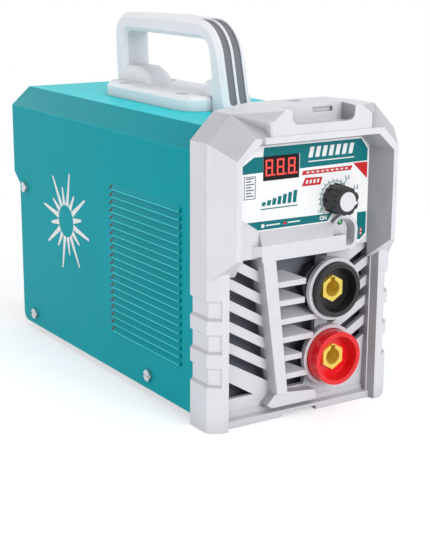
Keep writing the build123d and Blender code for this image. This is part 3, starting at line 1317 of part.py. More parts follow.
def handle_profile():
    """Side outline of the handle: nose, grip, rear post and the two domes at its feet."""
    crown = HANDLE_TOP - CROWN_DROP
    inner_front = HANDLE_FRONT + FRONT_POST
    inner_rear = HANDLE_REAR - REAR_POST
    front_dome = inner_front - POST_DRAFT * 2
    rear_dome = inner_rear - HUMP_REAR_LONG
    dome = PLATE_TOP + HUMP_TALL
    heel = FOOT_PLATE_FRONT - FIT
    return arched_outline((
        (HANDLE_TOE, HANDLE_SEAT, 0),
        (post_front(FOOT_Z), FOOT_Z, TOE_TALL - 1),
        (post_front(crown), crown, NOSE_R),
        ((HANDLE_FRONT + HANDLE_REAR) / 2, HANDLE_TOP, CROWN_R),
        (HANDLE_REAR + REAR_SWELL / 3, crown, HEEL_R),
        (HANDLE_REAR - REAR_SWELL, PLATE_TOP, 0),
        (rear_dome - HUMP_REAR_LONG / 9, PLATE_TOP, 0),
        (rear_dome, PLATE_TOP + HUMP_TALL * 0.6, HUMP_TALL / 2),
        (rear_dome + HUMP_REAR_LONG * 0.4, dome, HUMP_TALL),
        (inner_rear - POST_DRAFT, dome, 0),
        (inner_rear, HANDLE_UNDER, GAP_REAR_R),
        (inner_front + POST_DRAFT, HANDLE_UNDER, GAP_FRONT_R),
        (front_dome, dome, 0),
        (front_dome + HUMP_FRONT_LONG * 0.55, dome - POST_DRAFT, HUMP_TALL / 2),
        (front_dome + HUMP_FRONT_LONG * 1.3, PLATE_TOP, 0),
        (heel, PLATE_TOP, 0),
        (heel, HANDLE_SEAT, 0),
    ))


def groove_outline(near, far):
    """Strip that follows the front post and the nose between two depths below their surface."""
    crown = HANDLE_TOP - CROWN_DROP
    low = GROOVE_LOW_END
    return rounded_outline((
        (post_front(low + near, near), low + near, 0),
        (post_front(crown, near), crown - near, NOSE_R - near),
        (GROOVE_TOP_END - near, crown - near, 0),
        (GROOVE_TOP_END - far, crown - far, 0),
        (post_front(crown, far), crown - far, NOSE_R - far),
        (post_front(low + far, far), low + far, 0),
    ))


def groove_tip(side_of_x):
    """Wedge that points the groove's lower end on one side of its middle line."""
    middle = GROOVE_RIB / 2 + GROOVE_WIDE / 2
    edge = middle + side_of_x * (GROOVE_WIDE / 2 + 1)
    low = GROOVE_LOW_END - 1
    points = ((edge, low), (middle, low), (middle, low + 1), (edge, low + 1 + GROOVE_POINT * 1.2))
    return prism(points, "Y", HANDLE_TOE - 5, HANDLE_FRONT + 5)


def groove_strip(near, far, inset):
    """The groove, or the strip laid in it, on the handle's right half."""
    low = GROOVE_RIB / 2 + inset
    strip = sweep_flat(groove_outline(near, far), "X", low, low + GROOVE_WIDE - 2 * inset)
    return strip - groove_tip(-1) - groove_tip(1)


def handle_half(side):
    """One half of the clamshell handle, with its bevelled outer edges and its groove."""
    solid = sweep_flat(handle_profile(), "X", 0, HANDLE_HALF)
    bevelled = []
    for edge in solid.faces().sort_by(Axis.X)[-1].edges():
        middle = edge @ 0.5
        on_seat = abs(middle.Z - PLATE_TOP) < FIT or abs(middle.Z - HANDLE_SEAT) < FIT
        if not on_seat and abs(middle.Y - FOOT_PLATE_FRONT) > 1:
            bevelled.append(edge)
    solid = chamfer(bevelled, GRIP_BEVEL)
    solid -= groove_strip(-2 * GROOVE_DEEP, GROOVE_DEEP, 0)
    return solid if side > 0 else mirror(solid, Plane.YZ)


def handle_inlays():
    strip = groove_strip(GROOVE_DEEP / 2, GROOVE_DEEP, FIT / 3)
    return all_of([strip, mirror(strip, Plane.YZ)])


def handle_base():
    """Foot plate of the handle, wide in the middle and drawn in at both ends."""
    nose, tail = FOOT_PLATE_FRONT + FOOT_PLATE_NOSE, FOOT_PLATE_REAR - FOOT_PLATE_TAIL
    half = FOOT_PLATE_HALF
    corners = (
        (half * 0.5, FOOT_PLATE_FRONT, 0),
        (half * 0.86, FOOT_PLATE_FRONT + FOOT_PLATE_NOSE * 0.25, FOOT_PLATE_ROUND / 2),
        (half, nose, FOOT_PLATE_NOSE),
        (half - FOOT_PLATE_DRAW, tail, FOOT_PLATE_ROUND),
        (half * 0.6, FOOT_PLATE_REAR, FOOT_PLATE_ROUND / 2),
    )
    left = [(-x, y, radius) for x, y, radius in reversed(corners)]
    plate = sweep_flat(rounded_outline((*corners, *left)), "Z", HANDLE_SEAT, PLATE_TOP)
    plate = chamfer(plate.faces().sort_by(Axis.Z)[-1].edges(), FOOT_PLATE_BEVEL)
    for x, y in HANDLE_BOLTS:
        plate -= hole("Z", x, y, SCREW_SHANK_R + SCREW_GAP, HANDLE_SEAT - 1, PLATE_TOP + 1)
        plate -= hole("Z", x, y, SCREW_HEAD_R + FIT, PLATE_TOP - HANDLE_BOLT_SINK, PLATE_TOP + 1, BOSS_SIDES)
    return plate


def handle_screws():
    seat = PLATE_TOP - HANDLE_BOLT_SINK
    long = seat - COVER_TOP + SCREW_LONG - 1
    return all_of([screw("Z", x, y, seat, -1, long) for x, y in HANDLE_BOLTS])


# ---- power electronics ------------------------------------------------------------------------
def main_board():
    wide, long = MAIN_BOARD
    return block(-wide / 2, wide / 2, BOARD_START, BOARD_START + long, BOARD_Z, BOARD_TOP)


def board_standoffs():
    wide, long = MAIN_BOARD
    inset = BOARD_HOLE_INSET
    rows = (BOARD_START + inset, BOARD_START + long / 2, BOARD_START + long - inset)
    spots = [(side * (wide / 2 - inset), y) for side in (-1, 1) for y in rows]
    return all_of([hexagon("Z", x, y, STANDOFF_AF, TRAY_TOP, BOARD_Z) for x, y in spots])


def heatsink(side):
    """Finned heat sink standing on the main board; its fins face the cover."""
    inner = MAIN_BOARD[0] / 2 - SINK_WIDE
    fin = SINK_FIN
    low, high = BOARD_TOP, BOARD_TOP + SINK_TALL
    pitch = (SINK_TALL - fin) / (SINK_FINS - 1)
    section = Polygon((inner, low), (inner + SINK_BASE, low), (inner + SINK_BASE, high), (inner, high),
                      align=None)
    for step in range(SINK_FINS):
        z = low + step * pitch
        section += Pos(inner + SINK_WIDE / 2, z + fin / 2) * Rectangle(SINK_WIDE, fin)
    solid = sweep_flat(section, "Y", SINK_START, SINK_START + SINK_LONG)
    return solid if side > 0 else mirror(solid, Plane.YZ)


def transistors():
    """Power packages pressed to the inner faces of both heat sinks."""
    inner = MAIN_BOARD[0] / 2 - SINK_WIDE
    deep, wide, tall = TRANSISTOR
    packages = []
    for side in (-1, 1):
        for step in range(TRANSISTOR_COUNT):
            y = TRANSISTOR_START + step * TRANSISTOR_PITCH
            packages.append(block(side * inner, side * (inner - deep), y - wide / 2, y + wide / 2,
                                  BOARD_TOP, BOARD_TOP + tall))
    return all_of(packages)


def core_width():
    """The core is no wider than the room between the heat sinks."""
    return min(CORE[0], MAIN_BOARD[0] - 2 * SINK_WIDE - 4)


def transformer_core():
    wide, (_, long, tall) = core_width(), CORE
    core = block(-wide / 2, wide / 2, TRANSFORMER_Y - long / 2, TRANSFORMER_Y + long / 2, BOARD_TOP,
                 BOARD_TOP + tall)
    for side in (-1, 1):
        middle = TRANSFORMER_Y + side * (long / 2 - CORE_LIMB - CORE_WINDOW / 2)
        core -= block(-wide, wide, middle - CORE_WINDOW / 2, middle + CORE_WINDOW / 2,
                      BOARD_TOP + CORE_YOKE, BOARD_TOP + tall - CORE_YOKE)
    return core


def transformer_winding():
    wide, (_, long, tall) = core_width(), CORE
    outer_half = long / 2 - CORE_LIMB - FIT / 2
    inner_half = long / 2 - CORE_LIMB - CORE_WINDOW
    winding = block(-wide / 2 - 1, wide / 2 + 1, TRANSFORMER_Y - outer_half, TRANSFORMER_Y + outer_half,
                    BOARD_TOP + CORE_YOKE + 1, BOARD_TOP + tall - CORE_YOKE - 1)
    return winding - block(-wide / 2, wide / 2, TRANSFORMER_Y - inner_half, TRANSFORMER_Y + inner_half,
                           BOARD_TOP, BOARD_TOP + tall)


def output_choke():
    ring = bar("Z", 0, CHOKE_Y, CHOKE_R, BOARD_TOP, BOARD_TOP + CHOKE_TALL, 2 * BOSS_SIDES)
    return ring - bar("Z", 0, CHOKE_Y, CHOKE_BORE_R, BOARD_TOP - 1, BOARD_TOP + CHOKE_TALL + 1, BOSS_SIDES)


def bus_capacitors():
    y = BOARD_START + MAIN_BOARD[1] - CAP_R - 3
    pitch = 2 * CAP_R + CAP_GAP
    return all_of([bar("Z", step * pitch, y, CAP_R, BOARD_TOP, BOARD_TOP + CAP_TALL, BOSS_SIDES)
                   for step in (-1, 0, 1)])


def bridge_rectifier():
    wide, tall = RECTIFIER
    front = CHOKE_Y + CHOKE_R + CAP_GAP
    return block(-wide / 2, wide / 2, front, front + wide, BOARD_TOP, BOARD_TOP + tall)


def driver_board():
    y = (TRANSFORMER_Y + CORE[1] / 2 + CHOKE_Y - CHOKE_R) / 2
    wide, tall = DRIVER_BOARD
    return block(-wide / 2, wide / 2, y - BOARD_THICK / 2, y + BOARD_THICK / 2, BOARD_TOP, BOARD_TOP + tall)


def busbar_positive():
    half = BAR_WIDE / 2
    low, back = BOARD_TOP, POSITIVE_BAR_Y + BAR_THICK
    strip = block(SOCKET_X - half, SOCKET_X + half, POSITIVE_BAR_Y, back, low, SOCKET_Z[0] + half + 1)
    strip += block(SOCKET_X - half, SOCKET_X + half, POSITIVE_BAR_Y, BOARD_START + BAR_WIDE, low,
                   low + BAR_THICK)
    return strip - hole("Y", SOCKET_X, SOCKET_Z[0], STUD_R + SCREW_GAP, POSITIVE_BAR_Y - 1, back + 1)


def busbar_negative():
    half = BAR_WIDE / 2
    z, low, back = SOCKET_Z[1], BOARD_TOP, NEGATIVE_BAR_Y + BAR_THICK
    route = (
        (SOCKET_X + half, z - half),
        (SOCKET_X + half, z + half),
        (-BAR_WIDE, z + half),
        (-BAR_WIDE, low),
        (0, low),
        (0, z - half),
    )
    strip = prism(route, "Y", NEGATIVE_BAR_Y, back)
    strip += block(-BAR_WIDE, 0, NEGATIVE_BAR_Y, BOARD_START + BAR_WIDE, low, low + BAR_THICK)
    return strip - hole("Y", SOCKET_X, z, STUD_R + SCREW_GAP, NEGATIVE_BAR_Y - 1, back + 1)


def stud_nuts():
    across, thick = STUD_NUT
    nuts = []
    for which, bar_y in enumerate((POSITIVE_BAR_Y, NEGATIVE_BAR_Y)):
        low, high = bar_y + BAR_THICK, bar_y + BAR_THICK + thick
        nut = hexagon("Y", SOCKET_X, SOCKET_Z[which], across, low, high)
        nuts.append(nut - hole("Y", SOCKET_X, SOCKET_Z[which], STUD_R + SCREW_GAP, low - 1, high + 1))
    return all_of(nuts)


def dust_screen():
    """Dark partition between the grille and the power stage, pierced for the sockets."""
    front, back = BEZEL_DEPTH - SCREEN_THICK / 2, BEZEL_DEPTH + SCREEN_THICK / 2
    half = TRAY_HALF - 1
    screen = block(-half, half, front, back, TRAY_TOP, PANEL_LOW + 1)
    for z in SOCKET_Z:
        screen -= hole("Y", SOCKET_X, z, 2 * STUD_R, front - 1, back + 1, BOSS_SIDES)
    return screen


# ---- assembly ---------------------------------------------------------------------------------
NODES = {
    "base_plate": base_plate,
    "rear_feet": rear_feet,
    "front_bezel": front_bezel,
    "cover": cover,
    "rear_panel": rear_panel,
    "cover_screws": cover_screws,
    "bezel_top_screw": bezel_top_screw,
    "label_overlay": label_overlay,
    "display_module": display_module,
    "display_digits": display_digits,
    "control_board": control_board,
    "board_spacers": board_spacers,
    "potentiometer": potentiometer,
    "pot_shaft": pot_shaft,
    "knob_body": knob_body,
    "knob_pointer": knob_pointer,
    "knob_cap": knob_cap,
    "power_led": power_led,
    "positive_socket_shell": lambda: socket_shell(0),
    "positive_socket_insert": lambda: socket_insert(0),
    "positive_socket_nut": lambda: socket_nut(0),
    "negative_socket_shell": lambda: socket_shell(1),
    "negative_socket_insert": lambda: socket_insert(1),
    "negative_socket_nut": lambda: socket_nut(1),
    "handle_base": handle_base,
    "handle_left_half": lambda: handle_half(-1),
    "handle_right_half": lambda: handle_half(1),
    "handle_inlays": handle_inlays,
    "handle_screws": handle_screws,
    "fan_frame": fan_frame,
    "fan_rotor": fan_rotor,
    "fan_guard": fan_guard,
    "fan_screws": fan_screws,
    "switch_housing": switch_housing,
    "power_rocker": power_rocker,
    "cable_gland": cable_gland,
    "gland_nut": gland_nut,
    "dust_screen": dust_screen,
    "main_board": main_board,
    "board_standoffs": board_standoffs,
    "heatsink_left": lambda: heatsink(-1),
    "heatsink_right": lambda: heatsink(1),
    "power_transistors": transistors,
    "transformer_core": transformer_core,
    "transformer_winding": transformer_winding,
    "output_choke": output_choke,
    "bus_capacitors": bus_capacitors,
    "bridge_rectifier": bridge_rectifier,
    "driver_board": driver_board,
    "busbar_positive": busbar_positive,
    "busbar_negative": busbar_negative,
    "stud_nuts": stud_nuts,
}

FRONT_END = BUMPER_FRONT
REAR_END = REAR_OUT + GLAND_HEX + GLAND_DOME
CENTRE_Y = (FRONT_END + REAR_END) / 2


def write_parts():
    os.makedirs("parts", exist_ok=True)
    for name, make in NODES.items():
        piece = Pos(0, -CENTRE_Y, 0) * make()
        export_step(piece, os.path.join("parts", name + ".step"))


if __name__ == "__main__":
    write_parts()
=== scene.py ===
"""Finishes, printing, light and camera for the stick welding inverter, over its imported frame."""
import json
import math

import bmesh
import bpy
from mathutils import Matrix, Vector


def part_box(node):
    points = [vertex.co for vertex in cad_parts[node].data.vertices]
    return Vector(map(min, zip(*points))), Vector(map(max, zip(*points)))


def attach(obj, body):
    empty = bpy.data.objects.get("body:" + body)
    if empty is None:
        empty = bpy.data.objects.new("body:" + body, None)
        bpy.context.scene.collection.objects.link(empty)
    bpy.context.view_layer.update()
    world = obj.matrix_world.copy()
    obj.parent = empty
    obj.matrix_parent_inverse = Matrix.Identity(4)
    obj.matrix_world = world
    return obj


MM = 0.001

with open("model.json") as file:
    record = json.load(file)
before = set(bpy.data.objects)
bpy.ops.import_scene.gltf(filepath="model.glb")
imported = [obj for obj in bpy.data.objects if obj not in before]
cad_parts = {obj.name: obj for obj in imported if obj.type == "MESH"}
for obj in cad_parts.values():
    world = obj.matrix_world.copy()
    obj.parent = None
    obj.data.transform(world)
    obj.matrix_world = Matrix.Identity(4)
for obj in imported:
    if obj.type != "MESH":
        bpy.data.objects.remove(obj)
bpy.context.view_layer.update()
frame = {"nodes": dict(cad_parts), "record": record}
nodes = frame["nodes"]


# ---- places taken from the frame --------------------------------------------------------------
def low(node):
    return Vector(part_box(node)[0])


def high(node):
    return Vector(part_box(node)[1])


def middle(node):
    return (low(node) + high(node)) / 2


SHEET, FIT = 1.0, 0.3           # the cover's sheet, and its clearance outside the tray, in mm
BUMPER_PROUD = 2.4              # the finger bumper in front of the bezel's rim, in mm

RIGHT, LEFT = Vector((1, 0, 0)), Vector((-1, 0, 0))
FRONT, REAR = Vector((0, -1, 0)), Vector((0, 1, 0))
UP = Vector((0, 0, 1))

LABEL_FRONT = low("label_overlay").y
LABEL_TOP = high("label_overlay").z
COVER_LEFT = low("base_plate").x - (SHEET + FIT) * MM
LOUVRE_PROUD = COVER_LEFT - low("cover").x
RIM = low("front_bezel").y + BUMPER_PROUD * MM
KNOB = middle("knob_body")
LED = middle("power_led")


# ---- material helpers -------------------------------------------------------------------------
def linear(red, green, blue):
    """sRGB 0-255 to linear."""
    def one(value):
        value /= 255
        return value / 12.92 if value <= 0.04045 else ((value + 0.055) / 1.055) ** 2.4
    return one(red), one(green), one(blue), 1.0


def shade(colour, amount):
    return tuple(min(1.0, max(0.0, c * amount)) for c in colour[:3]) + (1.0,)


class Tree:
    """One Principled material and small helpers to wire textures into it."""

    SOCKETS = {"metallic": "Metallic", "specular": "Specular IOR Level", "coat": "Coat Weight",
               "coat_rough": "Coat Roughness", "rough": "Roughness", "emission": "Emission Strength"}

    def __init__(self, name):
        self.material = bpy.data.materials.new(name)
        self.material.use_nodes = True
        self.nodes = self.material.node_tree.nodes
        self.links = self.material.node_tree.links
        self.shader = self.nodes["Principled BSDF"]
        self.place = self.nodes.new("ShaderNodeTexCoord")

    def scaled(self, stretch=(1, 1, 1)):
        mapping = self.nodes.new("ShaderNodeMapping")
        mapping.inputs["Scale"].default_value = stretch
        self.links.new(self.place.outputs["Object"], mapping.inputs["Vector"])
        return mapping.outputs["Vector"]

    def noise(self, scale, detail=3.0, rough=0.55, stretch=(1, 1, 1)):
        node = self.nodes.new("ShaderNodeTexNoise")
        node.inputs["Scale"].default_value = scale
        node.inputs["Detail"].default_value = detail
        node.inputs["Roughness"].default_value = rough
        self.links.new(self.scaled(stretch), node.inputs["Vector"])
        return node.outputs["Fac"]

    def ramp(self, source, low_at, low_value, high_at, high_value):
        node = self.nodes.new("ShaderNodeMapRange")
        node.inputs["From Min"].default_value = low_at
        node.inputs["From Max"].default_value = high_at
        node.inputs["To Min"].default_value = low_value
        node.inputs["To Max"].default_value = high_value
        self.links.new(source, node.inputs["Value"])
        return node.outputs["Result"]

    def blend(self, share, first, second):
        """From first to second, each a colour or an output, as share goes from 0 to 1."""
        node = self.nodes.new("ShaderNodeMix")
        node.data_type = "RGBA"
        self.links.new(share, node.inputs["Factor"])
        for socket, value in ((node.inputs[6], first), (node.inputs[7], second)):
            if isinstance(value, tuple):
                socket.default_value = value
            else:
                self.links.new(value, socket)
        return node.outputs[2]

    def darken(self, base, factor):
        """base colour times a factor output."""
        node = self.nodes.new("ShaderNodeMix")
        node.data_type = "RGBA"
        node.blend_type = "MULTIPLY"
        node.inputs["Factor"].default_value = 1.0
        self.links.new(base, node.inputs[6])
        self.links.new(factor, node.inputs[7])
        return node.outputs[2]

    def combine(self, operation, first, second, clamp=False):
        node = self.nodes.new("ShaderNodeMath")
        node.operation = operation
        node.use_clamp = clamp
        self.links.new(first, node.inputs[0])
        self.links.new(second, node.inputs[1])
        return node.outputs["Value"]

    def colour(self, output):
        self.links.new(output, self.shader.inputs["Base Color"])

    def rough(self, output):
        self.links.new(output, self.shader.inputs["Roughness"])

    def normal(self, heights, soften=0.0):
        """Stacks bumps given as (height output, strength, distance in mm) on edges rounded by soften."""
        last = None
        if soften:
            last = self.bevel(soften)
        for height, strength, distance in heights:
            bump = self.nodes.new("ShaderNodeBump")
            bump.inputs["Strength"].default_value = strength
            bump.inputs["Distance"].default_value = distance * MM
            self.links.new(height, bump.inputs["Height"])
            if last is not None:
                self.links.new(last, bump.inputs["Normal"])
            last = bump.outputs["Normal"]
        self.links.new(last, self.shader.inputs["Normal"])

    def bevel(self, radius):
        """The normal as if edges were rounded, with a radius in mm."""
        node = self.nodes.new("ShaderNodeBevel")
        node.samples = 4
        node.inputs["Radius"].default_value = radius * MM
        return node.outputs["Normal"]

    def flat_normal(self):
        return self.nodes.new("ShaderNodeNewGeometry").outputs["Normal"]

    def painted_hollow_shade(self, reach, darkest=0.7):
        """A factor for painted shade that falls in corners and recesses, within a reach in mm."""
        node = self.nodes.new("ShaderNodeAmbientOcclusion")
        node.samples = 6
        node.inputs["Distance"].default_value = reach * MM
        return self.ramp(node.outputs["AO"], 0.25, darkest, 0.9, 1.0)

    def edge_highlight_mask(self, radius, at=0.9):
        """0 to 1 along edges, where a rounded normal leaves the flat one; it masks painted edge highlights.
        """
        dot = self.nodes.new("ShaderNodeVectorMath")
        dot.operation = "DOT_PRODUCT"
        self.links.new(self.bevel(radius), dot.inputs[0])
        self.links.new(self.flat_normal(), dot.inputs[1])
        return self.ramp(dot.outputs["Value"], 0.995, 0.0, at, 1.0)

    def axis(self, vector, which):
        node = self.nodes.new("ShaderNodeSeparateXYZ")
        self.links.new(vector, node.inputs["Vector"])
        return node.outputs[which]

    def facing(self, which, low_at, high_at):
        """0 to 1 as the surface's own normal turns along an axis of the object."""
        return self.ramp(self.axis(self.flat_normal(), which), low_at, 0.0, high_at, 1.0)

    def within(self, which, low_at, high_at):
        """0 to 1 between two places along an axis, in metres."""
        return self.ramp(self.axis(self.place.outputs["Object"], which), low_at, 0.0, high_at, 1.0)

    def fixed(self, **values):
        """Sets constants on the shader's own sockets."""
        for key, value in values.items():
            self.shader.inputs[self.SOCKETS[key]].default_value = value


# ---- kinds of finish --------------------------------------------------------------------------
def moulded(name, colour, grain=2600, gloss=0.42, texture=0.22, soften=0.45, edge_highlight=0.04, hollow_shade_reach=0.0):
    """Injection-moulded plastic: spark texture, soft patches, a painted highlight that makes edges paler, and
    painted shade in hollows.
    """
    tree = Tree(name)
    patches = tree.noise(38, 4)
    fine = tree.noise(grain, 2, 0.6)
    base = tree.blend(tree.ramp(patches, 0.35, 0.0, 0.65, 1.0), shade(colour, 0.965), shade(colour, 1.02))
    # painted highlight: edges turn paler, more so for a larger edge highlight
    base = tree.blend(tree.edge_highlight_mask(soften * 1.3), base, shade(colour, 1 + edge_highlight * 4))
    # painted shade: the colour darkens in corners and recesses within the hollow reach
    if hollow_shade_reach:
        base = tree.darken(base, tree.painted_hollow_shade(hollow_shade_reach))
    tree.base = base
    tree.colour(base)
    tree.rough(tree.ramp(tree.noise(420, 3), 0.3, gloss - 0.05, 0.7, gloss + 0.07))
    tree.normal([(fine, texture, 0.03), (tree.noise(170, 2), 0.08, 0.06)], soften)
    return tree


def powder_coat(name, colour, peel=720, gloss=0.36, soften=0.4, painted_slope_shade=None, painted_top_light=None):
    """Baked powder coat: orange peel, fine speckle, painted shade in hollows, edges painted pale as a
    highlight, and where given, painted shade on slopes and painted light on tops.
    """
    tree = Tree(name)
    broad = tree.noise(16, 3)
    speck = tree.noise(3800, 1)
    base = tree.blend(tree.ramp(broad, 0.3, 0.0, 0.7, 1.0), shade(colour, 0.96), shade(colour, 1.04))
    # painted light and shade: slopes take a darker colour and tops a lighter one, as the light falls
    if painted_top_light:
        base = tree.blend(tree.facing("Z", 0.2, 0.72), base, painted_slope_shade)
        base = tree.blend(tree.facing("Z", 0.86, 0.98), base, painted_top_light)
    base = tree.blend(tree.ramp(speck, 0.62, 0.0, 0.8, 0.3), base, shade(colour, 1.35))
    # painted shade: the colour darkens in corners and recesses
    base = tree.darken(base, tree.painted_hollow_shade(5, 0.3))
    # painted highlight: edges turn paler
    tree.colour(tree.blend(tree.edge_highlight_mask(0.5), base, shade(colour, 1.9)))
    tree.rough(tree.ramp(tree.noise(140, 3), 0.3, gloss - 0.05, 0.7, gloss + 0.06))
    tree.normal([(tree.noise(peel, 2, 0.5), 0.16, 0.06)], soften)
    tree.fixed(specular=0.06)
    return tree


def brushed(name, colour, stretch, gloss, soften=0.15):
    """Drawn, plated or extruded metal, with lines along the axis of the smallest stretch."""
    tree = Tree(name)
    lines = tree.noise(120, 4, 0.7, stretch)
    tree.colour(tree.blend(tree.ramp(lines, 0.3, 0.0, 0.7, 1.0), shade(colour, 0.86), shade(colour, 1.06)))
    tree.rough(tree.ramp(lines, 0.3, gloss - 0.08, 0.7, gloss + 0.1))
    tree.normal([(lines, 0.12, 0.01)], soften)
    tree.fixed(metallic=1.0)
    return tree


def turned(name, colour, gloss, metallic=1.0):
    """Turned brass, copper or steel: fine scratches and slightly darker stains."""
    tree = Tree(name)
    stain = tree.noise(260, 4)
    fine = tree.noise(2600, 3, 0.6, (1, 0.25, 1))
    tree.colour(tree.blend(tree.ramp(stain, 0.35, 0.0, 0.7, 1.0), colour, shade(colour, 0.78)))
    tree.rough(tree.ramp(fine, 0.3, gloss - 0.07, 0.7, gloss + 0.12))
    tree.normal([(fine, 0.12, 0.012)], 0.2)
    tree.fixed(metallic=metallic)
    return tree


def film(name, colour, gloss=0.3):
    """Printed polycarbonate film: even ink under a faintly pebbled clear face."""
    tree = Tree(name)
    depth = tree.noise(60, 3)
    tree.colour(tree.blend(tree.ramp(depth, 0.3, 0.0, 0.7, 1.0), shade(colour, 0.97), shade(colour, 1.02)))
    tree.rough(tree.ramp(tree.noise(900, 2), 0.3, gloss - 0.04, 0.7, gloss + 0.05))
    tree.normal([(tree.noise(2200, 2), 0.06, 0.02)])
    tree.fixed(coat=0.06, coat_rough=0.12, specular=0.2)
    return tree


def glowing(name, grain, dark, bright, light, **fixed):
    """Lit plastic: a mottle between two colours, and light of its own."""
    tree = Tree(name)
    tree.colour(tree.blend(tree.noise(grain, 2), dark, bright))
    tree.shader.inputs["Emission Color"].default_value = light
    tree.fixed(**fixed)
    return tree


def bezel_plastic():
    """Moulded plastic with painted shade on slopes and on walls that face the bezel's middle."""
    wall_shade, slope_shade = 0.54, 0.68
    # the hollow reach paints shade into the bezel's recesses
    tree = moulded("bezel plastic", GREY, edge_highlight=0.07, hollow_shade_reach=14)
    inward = []
    for sign in (1, -1):
        turned_in = tree.facing("X", sign * -0.35, sign * -0.8)
        beside = tree.within("X", sign * 4 * MM, sign * 8 * MM)
        inward.append(tree.combine("MULTIPLY", turned_in, beside))
    walls = tree.combine("ADD", *inward, clamp=True)
    slopes = tree.combine("MULTIPLY", tree.facing("Z", 0.3, 0.5), tree.facing("Z", 0.95, 0.85))
    base = tree.darken(tree.base, tree.ramp(slopes, 0, 1.0, 1, slope_shade))
    tree.colour(tree.darken(base, tree.ramp(walls, 0, 1.0, 1, wall_shade)))
    return tree


def dull_cap():
    """Turned disc on the knob, dull enough not to clip under the front lamp."""
    tree = moulded("turned cap", (0.74, 0.75, 0.77, 1), grain=3000, gloss=0.4, texture=0.03, soften=0.2)
    tree.fixed(metallic=0.5)
    return tree


# ---- the object's finishes --------------------------------------------------------------------
GREY = linear(226, 226, 231)
HANDLE_GREY = linear(238, 238, 242)
# the teal, a darker painted shade for the cover's slopes and a lighter painted light for its top
TEAL, TEAL_SLOPE_SHADE, TEAL_TOP_LIGHT = linear(0, 160, 170), linear(0, 150, 160), linear(0, 218, 227)

cover_mat = powder_coat("teal powder coat", TEAL, painted_slope_shade=TEAL_SLOPE_SHADE, painted_top_light=TEAL_TOP_LIGHT)
# painted highlight: a brighter teal for the louvres' cut edges
louvre_highlight_mat = powder_coat("bright powder coat", linear(70, 224, 232))
label_mat = film("label film white", linear(251, 252, 252))
teal_ink = film("label film teal", linear(0, 116, 122))
red_ink = film("label film red", linear(206, 40, 44))
grey_ink = film("label film grey", linear(96, 104, 108))
white_print = film("white print", linear(238, 240, 240), 0.4)
rim_mat = film("lamp rim", linear(6, 70, 42))
lamp_mat = glowing("lamp lens", 500, linear(10, 120, 70), linear(30, 160, 96), linear(20, 140, 80),
                   emission=0.25, rough=0.12, coat=0.6, coat_rough=0.05)
lit_mat = glowing("lit segments", 900, linear(232, 60, 56), linear(250, 96, 88), linear(240, 50, 44),
                  emission=0.55, rough=0.35)
black_mat = moulded("black plastic", linear(34, 34, 37), grain=1500, gloss=0.45, texture=0.2, soften=0.3,
                    edge_highlight=0.5)
screen_mat = moulded("dust screen", linear(128, 130, 142), grain=700, gloss=0.7, texture=0.3)

SLOTS = {
    "bezel_plastic": bezel_plastic(),
    # the hollow reach paints shade into the handle's recesses
    "handle_plastic": moulded("handle plastic", HANDLE_GREY, gloss=0.4, edge_highlight=0.07, hollow_shade_reach=10),
    "groove_grey": moulded("groove inlay", linear(118, 118, 124), grain=2000, gloss=0.5),
    "cover_paint": cover_mat,
    "panel_paint": powder_coat("dark powder coat", linear(66, 68, 74), peel=800, gloss=0.5),
    "zinc_sheet": brushed("zinc plated sheet", (0.55, 0.56, 0.58, 1), (1, 1, 1), 0.36),
    "label_film": label_mat,
    "display_filter": film("display filter", linear(20, 14, 17), 0.16),
    "display_red": lit_mat,
    "knob_plastic": moulded("knob plastic", linear(30, 30, 33), grain=1800, gloss=0.34, texture=0.16,
                            soften=0.3, edge_highlight=0.6),
    "knob_white": moulded("index white", linear(235, 235, 235), grain=1800, gloss=0.4),
    "knob_metal": dull_cap(),
    "led_green": lamp_mat,
    "socket_red": moulded("red insulator", linear(238, 26, 34), grain=1600, gloss=0.24, texture=0.14,
                          soften=0.35, edge_highlight=0.3),
    "socket_black": moulded("black insulator", linear(30, 30, 32), grain=1600, gloss=0.34, texture=0.14,
                            soften=0.35, edge_highlight=0.6),
    "brass": turned("brass", linear(255, 226, 100), 0.32, 0.15),
    "nut_black": black_mat,
    "screw_steel": turned("screw steel", (0.66, 0.67, 0.69, 1), 0.3),
    "rubber": moulded("rubber", linear(28, 28, 28), grain=900, gloss=0.75, texture=0.3, soften=0.3,
                      edge_highlight=0.2),
    "black_plastic": black_mat,
    "guard_wire": brushed("chromed wire", (0.70, 0.71, 0.73, 1), (1, 1, 1), 0.24),
    "board_green": moulded("circuit board", linear(24, 88, 52), grain=1200, gloss=0.4, texture=0.1,
                           soften=0.1),
    "sink_aluminium": brushed("extruded aluminium", (0.62, 0.63, 0.65, 1), (60, 1, 60), 0.38),
    "ferrite": moulded("ferrite", linear(62, 62, 66), grain=1200, gloss=0.6, texture=0.3),
    "copper": turned("copper", (0.78, 0.42, 0.24, 1), 0.3),
    "capacitor_sleeve": film("capacitor sleeve", linear(30, 42, 84), 0.35),
}

for entry in frame["record"]["subparts"]:
    for slot in nodes[entry["node"]].material_slots:
        slot.material = SLOTS[entry["material_slot"]].material
for slot in nodes["dust_screen"].material_slots:
    slot.material = screen_mat.material


# ---- flat printed pieces, with outlines in millimetres ----------------------------------------
INK_GAP = 0.02                                      # print stands this far off its face
FIRST_INK, SECOND_INK, THIRD_INK = 0.05, 0.08, 0.11     # how high prints over each other reach


